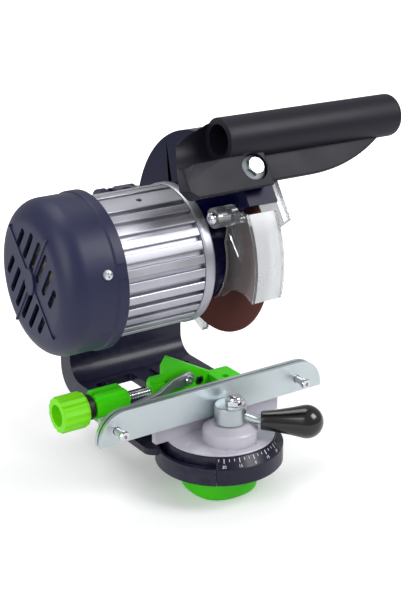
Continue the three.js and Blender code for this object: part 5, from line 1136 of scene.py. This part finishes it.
def guard_bolt():
    left = CASING_L - 2 * GAP - GUARD_BOSS
    shank_r, head_r, end = PIVOT_BORE / 2 - GAP, 5, -9.4
    bolt = turned("x", [(0, left - 3.4), (3.4, left - 3.3), (4.6, left - 2.5), (head_r, left - 1.2),
                        (head_r, left), (shank_r, left), (shank_r, end), (0, end)], 64)
    socket = plate("x", hexagon(3.2), left - 6, left - 1.4)
    bolt = moved(cut(bolt, socket), 0, PIVOT_Y, PIVOT_Z)
    piece(bolt, "guard_bolt", chrome, "head", ["guard_pivot_bolt"], HEAD)
    dress("guard_pivot_nut", zinc)


# Hinge

def hinge():
    pin_r, head_r, end = HINGE_BORE / 2 - GAP, 8, 22.8
    seat = EAR_L - GAP
    top = seat - 5
    pin = turned("x", [(0, top), (head_r - 1.2, top), (head_r, top + 1), (head_r, seat), (pin_r, seat),
                       (pin_r, end - 0.8), (pin_r - 0.6, end), (0, end)], 64)
    piece(moved(pin, 0, HINGE_Y, HINGE_Z), "hinge_bolt", zinc, "base", ["hinge_pin"], HEAD)
    low = FORK_R + GAP
    high = low + 8
    nut = hex_nut(17, HINGE_BORE, low, high, (8.5, 10.2), (low - 2.3, high + 1.7))
    nut = moved(nut, 0, HINGE_Y, HINGE_Z)
    piece(nut, "hinge_lock_nut", zinc, "base", ["hinge_nut"], HEAD)
    turns, length = 4.25, 7.6
    first = ARM_L + RUN + SPRING_WIRE_R
    winding = moved(spun(coil(turns, SPRING_R, length, SPRING_WIRE_R, 36, 12), Y, 90), first, 0, 0)
    arm_leg = rod("y", 2 * SPRING_WIRE_R, -24, 0, first, SPRING_R, 16)
    base_leg = rod("z", 2 * SPRING_WIRE_R, -23.7, 0, first + length, SPRING_R, 16)
    spring = gathered(winding, arm_leg, base_leg)
    piece(moved(spring, 0, HINGE_Y, HINGE_Z), "torsion_spring", dark_steel, "head", ["return_spring"], HEAD)
    top, length, radius = 187.5, 38.5, 3.4
    low = top - length
    screw = turned("z", [(0, low), (radius - 0.4, low), (radius, low + 1), (radius, top - 0.6),
                         (radius - 0.5, top), (0, top)], 48)
    screw = cut(screw, plate("z", hexagon(4), top - 4, top + OVER))
    turns, thread_length, thread_wire = 29, 36, 0.55
    thread = coil(turns, radius + 0.05, thread_length, thread_wire, 20, 6)
    thread = moved(thread, 0, 0, low + 1)
    screw = moved(gathered(screw, thread), DEPTH_X, DEPTH_Y, 0)
    piece(screw, "depth_screw", zinc, "depth_stop", ["depth_stop_screw"])


# Base

BASE_HALF = 60
SEAT_R = 54.5
SEAT_LOW = -14.6
SEAT_TOP = 8.3
SEAT_BORE = 80.6
STUD_BORE = 10.6
FORK_FLOOR = 141.5
LEDGE_LOW = 135.5
WALL_FACE = 152
FORK_Y, FORK_Z = 158, 175
EAR_L, EAR_R = -22, -15
FORK_R = 14
FOOT_HOLE_X, FOOT_HOLE_Y = 45, 122


def base_side(inset, back, bottom, radius):
    """The side outline of the base, drawn in by a wall."""
    floor, wall, fillet = 17 - inset, WALL_FACE + inset, 18 + inset
    return ([(48 + inset, bottom), (back - radius, bottom)]
            + arc(radius, 270, 360, 16, back - radius, bottom + radius)[1:]
            + [(back, FORK_Z), (wall, FORK_Z)]
            + arc(fillet, 0, -90, 16, wall - fillet, floor + fillet)
            + [(48 + inset, floor)])


def base_front(inset):
    """The front outline of the base: a broad foot that narrows up to the hinge."""
    half, broad_z, narrow_z = BASE_HALF - inset, 78, 138
    post, r = 18 - inset, 9.0
    left, right = DEPTH_X - post, DEPTH_X + post
    return [(-half, SEAT_LOW), (half, SEAT_LOW), (half, broad_z - r), (half - r / 3, broad_z),
            (right + r / 3, narrow_z), (right, narrow_z + r), (right, FORK_Z), (left, FORK_Z),
            (left, narrow_z + r), (left - r / 3, narrow_z), (-half + r / 3, broad_z), (-half, broad_z - r)]


def side_window(side, near, far, front, back, radius):
    """A rounded rectangle on one side of the middle."""
    left, right = sorted((side * near, side * far))
    return rounded(rectangle(left, right, front, back), radius)


def base_bracket():
    half, back, wall = BASE_HALF, 170, 6
    outer = common(plate("x", base_side(0, back, 0, 24), -half, half),
                   plate("y", base_front(0), 0, back + OVER))
    cavity = common(plate("x", base_side(wall, back + OVER, -OVER, OVER), -half, half),
                    plate("y", base_front(wall), 0, back + 2 * OVER))
    fork = block(EAR_R, 7, WALL_FACE - OVER, back + OVER, FORK_FLOOR, 199)
    bracket = cut(outer, cavity, fork)
    ear = plate("x", [(WALL_FACE, LEDGE_LOW), (back, LEDGE_LOW)] + arc(12, 0, 180, 32, FORK_Y, FORK_Z),
                EAR_L, EAR_R)
    cross_wall = block(EAR_L, FORK_R, WALL_FACE, back, LEDGE_LOW, FORK_FLOOR)
    ledge = plate("x", [(WALL_FACE + OVER, 129.5), (WALL_FACE + OVER, FORK_FLOOR), (134, FORK_FLOOR),
                        (134, LEDGE_LOW)], ARM_L, ARM_R)
    seat = rod("z", 2 * SEAT_R, SEAT_LOW, 0.5, steps=160)
    horn_y, ring_r = 20 - SEAT_R / 6, 48
    horns = plate("z", rounded([(-half, 20), (-ring_r, horn_y), (ring_r, horn_y), (half, 20), (half, 54),
                                (-half, 54)], 5), -5.5, 0.5)
    seat_ring = rod("z", 2 * ring_r, -2.5, SEAT_TOP, steps=160)
    shoulder = block(-half, half, 48, 54, -5.5, 17)
    foot = block(-57, 57, 64, 80, 0, 14)
    sides = (-1, 1)
    bosses = [rod("z", 20, 0, 14, side * FOOT_HOLE_X, FOOT_HOLE_Y, 48) for side in sides]
    lips = [plate("z", side_window(side, 9, 42, 91, 128, 3), 14, 19) for side in sides]
    other_ear = moved(ear, FORK_R - EAR_R, 0, 0)
    whole = join(bracket, ear, other_ear, cross_wall, ledge, seat, horns, seat_ring, shoulder, foot,
                 *bosses, *lips)
    openings = [plate("z", side_window(side, 11, 40, 93, 126, 2), -3, 22) for side in sides]
    holes = [rod("z", 9, -3, 20, side * FOOT_HOLE_X, FOOT_HOLE_Y, 40) for side in sides]
    steps = 40
    inner = arc(ring_r, -128, -208, steps)
    widening = [(ring_r + 6.5 * (0.15 + 0.55 * i / steps)) / ring_r for i in range(steps + 1)]
    outer_edge = [(x * share, y * share) for (x, y), share in zip(inner, widening)]
    crescent = plate("z", inner + outer_edge[::-1], -6.5, SEAT_TOP)
    scale_space = plate("z", sector(42, SEAT_R + OVER, -127, -53, 48), SEAT_LOW - OVER, SEAT_TOP + OVER)
    whole = cut(whole, *openings, *holes, rod("z", SEAT_BORE, -7, 20, steps=128),
                rod("z", STUD_BORE, SEAT_LOW - OVER, 0.5),
                rod("z", 2 * (ring_r + GAP), SEAT_TOP, 20, steps=128), crescent, scale_space,
                rod("x", HINGE_BORE, EAR_L - OVER, FORK_R + OVER, FORK_Y, FORK_Z))
    piece(eased(whole, 0.9, 3, 34), "base_casting", navy_paint, "base", ["base_bracket"], keep=34)


def angle_scale():
    body = turned("z", [(42.3, SEAT_LOW), (SEAT_R - 0.5, SEAT_LOW), (SEAT_R, SEAT_LOW + 0.5), (SEAT_R, -0.4),
                        (SEAT_R - 0.3, 0.2), (48.3, SEAT_TOP - 0.2), (47.6, SEAT_TOP), (42.3, SEAT_TOP)], 200)
    half = 36.7
    body = common(body, plate("z", sector(39, 57.5, -90 - half, -90 + half, 60), -17, 12))
    piece(eased(body, 0.3, 2, 34), "scale_sector", navy_paint, "base", ["angle_scale"], keep=34)
    slope = math.degrees(math.atan2(8.1, 6.0))
    long_tick = block(-0.3, 0.3, -1.9, 1.9, -0.05, 0.12)
    short_tick = block(-0.22, 0.22, -1.1, 1.1, -0.05, 0.12)

    def on_band(mesh, along):
        """Lays a mesh drawn flat, with its top towards +Y, on the slanted band at the front."""
        laid = mesh.copy()
        laid.transform(Matrix.Translation((0, -48.3 - 5.9 * along, 8.1 - 7.9 * along))
                       @ Matrix.Rotation(turn_degrees(slope), 4, "X"))
        return laid

    ticks = gathered(around(on_band(short_tick, 0.22), 15, start=-35, step=5, axis=Z),
                     around(on_band(long_tick, 0.28), 5, start=-30, step=15, axis=Z))
    piece(ticks, "scale_ticks", ink, "base", keep=40)
    numbers = []
    for degrees in (30, 15, 0, -15, -30):
        curve = bpy.data.curves.new("number", "FONT")
        curve.body = str(abs(degrees))
        curve.size = 3.6
        curve.extrude = 0.06
        curve.align_x = "CENTER"
        curve.align_y = "CENTER"
        text = bpy.data.objects.new("number", curve)
        bpy.context.scene.collection.objects.link(text)
        numbers.append(spun(on_band(worked(text), 0.76), Z, degrees))
    piece(gathered(*numbers), "scale_numbers", ink, "base", keep=40)


def lock_knob():
    bottom, top, r = -41, -15, 32.8
    bore = STUD_BORE / 2
    body = turned("z", [(bore, top), (r - 2, top), (r - 0.6, top - 0.5), (r, top - 2), (r, bottom + 5),
                        (r - 0.5, bottom + 2), (r - 1.6, bottom + 0.5), (r - 3, bottom), (17, bottom),
                        (16, bottom + 1), (15, bottom + 4), (bore, bottom + 4)], 256)
    body = spun(lobed(body, 4, 0.0762, 16, r), Z, 45)
    piece(body, "lobed_lock_knob", green, "lock", ["lock_knob"], keep=40)


# Swivel table and vise

CAM_PIVOT = (1.6, -20.2)
CAM_BORE = 8.6
CAM_THROW = 3.66
CAM_TURN = turn_degrees(145)
CAM_CENTRE = (CAM_PIVOT[0] + CAM_THROW * math.cos(CAM_TURN), CAM_PIVOT[1] + CAM_THROW * math.sin(CAM_TURN))
LEVER_TURN = -37.2
LEVER_Z = 26.9
LEVER_BEND = 19.0
LEVER_RISE = 0.37
WEB_FRONT, WEB_BACK = 4.6, 10.6
GUIDES_X = (-101.6, 78.8)
GUIDE_Z = 38.7
GUIDE_BORE = 6.6
JAW_SHEET = 3.5
STOP_SCREW_X, STOP_SCREW_Z = -90, 38
STOP_SCREW_BORE = 4.6


def swivel_table():
    rim_r, rim_z = 46.8, 10
    hub_r, hub_z = 17.5, 13.4
    plug = 39.7
    disc = turned("z", [(0, -6.7), (plug - 0.8, -6.7), (plug, -5.9), (plug, 8.6), (rim_r + 0.4, 8.6),
                        (rim_r + 0.4, 9.6), (rim_r, rim_z), (hub_r, hub_z), (15.3, 14.7), (14.6, 15),
                        (0, 15)], 200)
    slope = (hub_z - rim_z) / (rim_r - hub_r)
    inner, outer, sink, above = 18, 42.5, 0.8, 18

    def panel_floor(radius):
        return rim_z + (rim_r - radius) * slope - sink

    panel = turned("z", [(inner, panel_floor(inner)), (outer, panel_floor(outer)), (outer, above),
                         (inner, above)], 200)
    panels = [common(panel, plate("z", sector(12, 50, middle - half, middle + half, 24), -15, 21))
              for middle, half in ((-141, 27), (-90, 15), (-39, 27))]
    top, low = 45.6, 10.6
    web = plate("y", [(-60, low), (-47.2, low), (-44.2, 10), (44.2, 10), (47.2, low), (65, low), (65, top),
                      (-60, top)], WEB_FRONT, WEB_BACK)
    rail = block(-110, 96, WEB_FRONT, WEB_BACK, 29, top)
    seat = turned("z", [(0, 9), (23, 9), (23, 20.6), (22, 21.9), (16, 24.8), (14.8, 25.3), (0, 25.3)], 96)
    whole = join(cut(disc, *panels), moved(seat, *CAM_CENTRE, 0), web, rail)
    guide_holes = [rod("y", GUIDE_BORE, 1, 14, x, GUIDE_Z) for x in GUIDES_X]
    whole = cut(whole, rod("z", CAM_BORE, 1, 28, *CAM_PIVOT), rod("z", STUD_BORE, -10, 10), *guide_holes,
                rod("y", STOP_SCREW_BORE, 1, 14, STOP_SCREW_X, STOP_SCREW_Z))
    piece(eased(whole, 0.6, 3, 34), "vise_table", table_grey, "table", ["swivel_table"], keep=34)
    stud_r, low, high = 4.6, -35, 7
    stud = turned("z", [(0, low), (stud_r - 0.2, low), (stud_r, low + 1), (stud_r, high - 0.6),
                        (stud_r - 0.6, high), (0, high)], 48)
    turns, thread_length, thread_wire = 21, 31, 0.4
    thread = moved(coil(turns, stud_r, thread_length, thread_wire, 20, 6), 0, 0, low + 1)
    piece(gathered(stud, thread), "clamp_stud", zinc, "table", ["table_stud"])


def jaws():
    left, right, low, corner = -117, 105, 26.8, 24
    outline = ([(left, low), (right, low)] + arc(corner, 0, 90, 24, right - corner, low + 3)
               + arc(corner, 90, 180, 24, left + corner, low + 3))
    for front, name, node, body in ((0.7, "jaw_rear", "rear_jaw", "table"),
                                    (-4.5, "jaw_front", "front_jaw", "sliding_jaw")):
        holes = [rod("y", GUIDE_BORE, front - OVER, front + 7, x, GUIDE_Z) for x in GUIDES_X]
        shape = cut(plate("y", outline, front, front + JAW_SHEET), *holes)
        piece(eased(shape, 0.35, 2, 34), name, zinc_sheet, body, [node], keep=34)
    shank_r, head_r, neck, top = GUIDE_BORE / 2 - GAP, 4.5, -14.5, -18.5
    for x, side in zip(GUIDES_X, ("left", "right")):
        screw = turned("y", [(0, WEB_BACK), (shank_r - 0.4, WEB_BACK), (shank_r, WEB_BACK - 0.4),
                             (shank_r, neck), (head_r, neck), (head_r, top + 1.3), (head_r - 0.6, top + 0.4),
                             (2.6, top), (0, top)], 48)
        screw = cut(screw, plate("y", hexagon(3), top - 2.5, top + 2.5))
        piece(moved(screw, x, 0, GUIDE_Z), f"guide_{side}", chrome, "table", [f"{side}_guide_screw"])


def swept(points, radius):
    """A round bar along a bent line in the XZ plane."""
    steps = 40
    verts = []
    faces = []
    for i, (x, z) in enumerate(points):
        before, after = points[max(i - 1, 0)], points[min(i + 1, len(points) - 1)]
        slope = math.atan2(after[1] - before[1], after[0] - before[0])
        for k in range(steps):
            a = 2 * math.pi * k / steps
            lift = radius * math.sin(a)
            verts.append((x - lift * math.sin(slope), radius * math.cos(a), z + lift * math.cos(slope)))
    for i in range(len(points) - 1):
        for k in range(steps):
            j = (k + 1) % steps
            faces.append([i * steps + k, i * steps + j, (i + 1) * steps + j, (i + 1) * steps + k])
    faces.append(list(range(steps)))
    faces.append(list(range(len(verts) - steps, len(verts))))
    return mesh_of(verts, faces)


def lever_line(start, end):
    """The middle line of the lever: it comes down from the hub, bends and runs out level."""
    points = [(start, LEVER_RISE * (LEVER_BEND - start))]
    points += [(LEVER_BEND - 4 + 8 * t / 12, LEVER_RISE * 4 * (1 - t / 12) ** 2) for t in range(13)]
    return points + [(end, 0)]


def lever_turn(rise=0.0, angle=0.0):
    """Takes a shape drawn along X to the lever's own place and direction."""
    return (Matrix.Translation((*CAM_PIVOT, LEVER_Z + rise))
            @ Matrix.Rotation(turn_degrees(LEVER_TURN + angle), 4, Z))


def cam_clamp():
    low, high, r = 25.6, 41.4, 13.3
    body = turned("z", [(0, low), (r - 0.8, low), (r, low + 0.8), (r, high - 1.4), (r - 0.4, high - 0.5),
                        (r - 1.3, high), (0, high)], 128)
    body = moved(body, *CAM_CENTRE, 0)
    socket = swept([(x, LEVER_RISE * (LEVER_BEND - x)) for x in (6, 17)], 3.8)
    socket.transform(lever_turn())
    grub = rod("x", 4, 5, 16, 0, 0, 24)
    grub.transform(lever_turn(9.4, -22))
    body = cut(body, rod("z", CAM_BORE, low - OVER, high + OVER, *CAM_PIVOT), socket, grub)
    piece(eased(body, 0.25, 2, 34), "cam_drum", zinc_cast, "lever", ["cam_hub"], keep=34)
    bar = swept(lever_line(6.4, 46.5), 3.5)
    bar.transform(lever_turn())
    piece(bar, "clamp_rod", zinc, "lever", ["lever_rod"])
    ball, centre = 14.0, 59.5
    end = [(max(y, 0), x) for x, y in arc(ball, 101, 0, 20, centre, 0)]
    knob = turned("x", [(3.8, 21.5), (6.8, 21.5), (7.6, 21.9), (8, 22.8), (8.5, 27), (9.8, 37), (11.6, 47),
                        (13.1, 54), *end, (0, 46.8), (3.8, 46.8)], 96)
    knob.transform(lever_turn())
    piece(knob, "clamp_grip", black_gloss, "lever", ["lever_knob"], keep=50)
    z = high + GAP
    dome = turned("z", [(0, z + 2), (6.6, z + 2), (6.6, z + 4.6), (6.2, z + 6), (5.2, z + 7.1),
                        (3.6, z + 7.7), (1.8, z + 7.9), (0, z + 7.95)], 64)
    hexa = common(plate("z", hexagon(14.4, 0, 0, 10), z, z + 4.5),
                  turned("z", [(0, z - 1), (8.2, z - 1), (8.2, z + 3.6), (7, z + 4.5), (0, z + 4.5)], 64))
    shank = rod("z", 8, 4, z + 3, 0, 0)
    bolt = moved(gathered(dome, eased(hexa, 0.2, 2), shank), *CAM_PIVOT, 0)
    piece(bolt, "cam_acorn_bolt", chrome, "table", ["cam_bolt"], keep=34)


# Chain stop

ADJ_Y, ADJ_Z = 25.0, 50.0
ADJ_BORE = 6.6
ADJUSTER_AT = (0, ADJ_Y, ADJ_Z)
PAWL_X, PAWL_Z = -19.5, 54.6
PAWL_SHEET = 4.5
PAWL_BORE = 4.6
SLIDE_FRONT = 24.0
SPACER = 2
LOCK_X, LOCK_Z = -4, 47.6


def adjuster():
    r = 15.0
    left, right = -139.0, -115.0
    profile = [(9, left), (r - 1.4, left), (r - 0.4, left + 0.4), (r, left + 1.4), (r, right - 2.6),
               (r - 0.6, right - 1), (r - 2, right), (3.3, right), (3.3, left + 12), (8.6, left + 12),
               (9, left + 11)]
    body = spun(lobed(turned("z", profile, 240), 14, 0.075, 11, r), Y, 90)
    piece(body, "adjuster_grip", lime, "adjuster", ["adjuster_knob"], ADJUSTER_AT, keep=40)
    start, end, radius = -130, -41.5, 2.6
    screw = turned("x", [(0, start), (radius - 0.1, start), (radius, start + 0.6), (radius, end - 0.5),
                         (radius - 0.4, end), (0, end)], 40)
    turns, thread_length, thread_wire = 58, 72, 0.42
    thread = spun(coil(turns, radius + 0.02, thread_length, thread_wire, 18, 6), Y, 90)
    thread = moved(thread, right + 0.6, 0, 0)
    screw = gathered(screw, thread)
    piece(screw, "adjuster_thread", chrome, "adjuster", ["adjuster_screw"], ADJUSTER_AT)
    bore, low, high, rim = ADJ_BORE / 2, right + 0.5, -108.6, 10.5
    collar = turned("x", [(bore, low), (rim - 0.9, low), (rim, low + 0.7), (rim, high - 0.8),
                          (rim - 0.7, high), (bore, high)], 64)
    piece(collar, "adjuster_washer", black_moulding, "adjuster", ["adjuster_collar"], ADJUSTER_AT)


def stop_block():
    left, right, bottom, bend = -108, -78, 33, 11
    outline = ([(left, 57), (left, bottom + bend)]
               + arc(bend, 180, 270, 8, left + bend, bottom + bend)[1:] + [(right, bottom), (right, 57)])
    body = plate("y", outline, 13.5, 33)
    foot = block(-98, right, WEB_BACK + GAP, 16.5, bottom, bottom + bend)
    corner, shoulder = 3.4, 57.6
    fin = plate("y", [(left, 52), (right, 52)] + arc(corner, 0, 90, 8, right - corner, shoulder)
                + arc(corner, 90, 180, 8, left + corner, shoulder), 17.5, 22.5)
    whole = join(body, foot, fin, moved(fin, 0, 10, 0))
    whole = cut(whole, rod("x", ADJ_BORE, left - OVER, right + OVER, ADJ_Y, ADJ_Z),
                rod("y", STOP_SCREW_BORE, WEB_BACK, 21.5, STOP_SCREW_X, STOP_SCREW_Z))
    piece(eased(whole, 0.8, 3, 34), "stop_bearing_block", green, "table", ["stop_block"], keep=34)
    dress("stop_block_screw", zinc)


def carriage():
    front, back = SLIDE_FRONT, 30.0
    main = plate("y", [(-40, 36), (10.2, 36), (10.2, 51.4), (-34.7, 76.2), (-40, 68)], front, back)
    main = eased(main, 1.0, 3, 34)
    low = plate("y", [(-53, 50), (-35, 50), (-35, 60), (-50.5, 60), (-53, 57.5)], front, back - RUN)
    boss = block(-53, -39.7, 20.5, back, 44.5, 55.5)
    spacer = rod("y", 10, front - SPACER, 24.5, PAWL_X, PAWL_Z)
    lug = plate("z", rounded([(5.2, 5), (28, 5), (28, 30), (5.2, 30)], 2.5), 45.9, 51.3)
    foot = block(-40, 10.2, 10.9, 24.5, 36, 41)
    whole = join(main, low, boss, spacer, lug, foot)
    whole = cut(whole, rod("z", 6.5, 42, 55, 15, 13), rod("x", ADJ_BORE, -56, -35.5, ADJ_Y, ADJ_Z),
                rod("y", 8.6, 21, 29.5, LOCK_X, LOCK_Z), rod("y", PAWL_BORE, 21, 33, PAWL_X, PAWL_Z))
    piece(eased(whole, 0.6, 3, 40), "stop_slide", green, "carriage", ["stop_carriage"], keep=34)
    screw = turned("y", [(0, 29.2), (4, 29.2), (4, 24.2), (3.4, 23.5), (0, 23.5)], 48)
    screw = cut(screw, plate("y", hexagon(4), 20, 27))
    screw = moved(screw, LOCK_X, 0, LOCK_Z)
    piece(screw, "slide_lock_screw", dark_steel, "carriage", ["carriage_lock_screw"])
    head = front - SPACER - PAWL_SHEET - 2 * GAP
    bolt = turned("y", [(0, back), (2, back), (2, head), (4, head), (4, head - 2.2), (3.3, head - 3.2),
                        (0, head - 3.2)], 48)
    bolt = cut(bolt, plate("y", hexagon(2.8), head - 6, head - 1.4))
    piece(moved(bolt, PAWL_X, 0, PAWL_Z), "pawl_pivot_bolt", chrome, "carriage", ["pawl_bolt"])


def pawl():
    back = SLIDE_FRONT - SPACER - GAP
    front = back - PAWL_SHEET
    low, tip = 48.8 - 2.5, 48.9
    bend_x, knee_x, tip_x = -34, -50, -80
    shank = plate("y", arc(6.4, -80, 95, 32, PAWL_X, PAWL_Z) + [(bend_x, low + 11.5), (bend_x, low + 2.5)],
                  front, back)
    slope = (front - 5.2) / (bend_x - tip_x)

    def corners(x, bottom, top):
        y = front - (bend_x - x) * slope
        return [(x, y, bottom), (x, y + PAWL_SHEET, bottom), (x, y, top), (x, y + PAWL_SHEET, top)]

    thigh = hull(corners(bend_x, low + 2.5, low + 11.5) + corners(knee_x, low, low + 5.3))
    foot = hull(corners(knee_x, low, low + 5.3) + corners(tip_x, tip - 1.25, tip + 2.5)
                + corners(tip_x + 5, tip - 2.5, tip + 2.5))
    whole = cut(join(shank, thigh, foot), rod("y", PAWL_BORE, front - OVER, back + OVER, PAWL_X, PAWL_Z))
    piece(eased(whole, 0.5, 3, 34), "pawl_arm", aluminium, "pawl", ["stop_pawl"], keep=34)


# Switch box

def switch_gear():
    left, right, front, back, low, high = -112, -66, 55.3, 88, -22, 24
    outer = plate("x", rounded([(front, low), (back, low), (back, high), (front, high)], 3), left, right)
    wall = 2.5
    hollow = block(left + wall, right - wall, front + wall, back - wall, low + wall, high + OVER)
    gland_x, gland_y = left + 16, (front + back) / 2
    box = cut(outer, hollow, rod("z", 11, low - 3, low + 5, gland_x, gland_y))
    piece(eased(box, 0.9, 3, 34), "switch_housing", black_moulding, "head", ["switch_box"], HEAD, keep=34)
    middle_x = (left + right) / 2
    lid = plate("z", rounded(rectangle(left, right, front, back), 3), high + GAP, high + GAP + wall)
    lid = cut(lid, block(middle_x - 10.5, middle_x + 10.5, gland_y - 7, gland_y + 7, high - 3, high + 6))
    piece(eased(lid, 0.6, 3, 34), "switch_cap", black_moulding, "head", ["switch_lid"], HEAD, keep=34)
    rocker = plate("y", [(middle_x - 6.5, high - 2.5), (middle_x + 6.5, high - 2.5),
                         (middle_x + 9.5, high + 5.8), (middle_x, high + 3.7), (middle_x - 9.5, high + 5.8)],
                   gland_y - 6.5, gland_y + 6.5)
    piece(eased(rocker, 0.5, 3, 25), "rocker_button", green, "switch", ["switch_rocker"], HEAD, keep=34)
    z = low - GAP
    gland = turned("z", [(3.75, z - 14), (5.2, z - 14), (5.8, z - 13.2), (6.4, z - 9), (8, z - 8), (8, z),
                         (5.2, z), (5.2, z + 4.3), (3.75, z + 4.3)], 72)
    piece(moved(gland, gland_x, gland_y, 0), "lead_gland", black_moulding, "head", ["cable_gland"], HEAD)
    screw = turned("z", [(0, 0), (2.2, 0), (2.4, 0.4), (1.8, 1.3), (0, 1.5)], 28)
    screw = crossed(screw, block(-1.5, 1.5, -0.3, 0.3, 0.8, 2.5), Z)
    pair = in_row(moved(screw, left + 4.5, front + 4.5, high + 2.8), 2, (right - left - 9, 0, 0))
    four = gathered(pair, moved(pair, 0, back - front - 9, 0))
    piece(four, "lid_screws", zinc, "head", at=HEAD)


camera()
studio()
motor_housing()
end_shields()
fan_cover()
cover_screws()
cooling_fan()
inner_motor()
wheel()
wheel_casing()
side_cover()
handle()
clear_guard()
guard_bolt()
hinge()
base_bracket()
angle_scale()
lock_knob()
swivel_table()
jaws()
cam_clamp()
adjuster()
stop_block()
carriage()
pawl()
switch_gear()
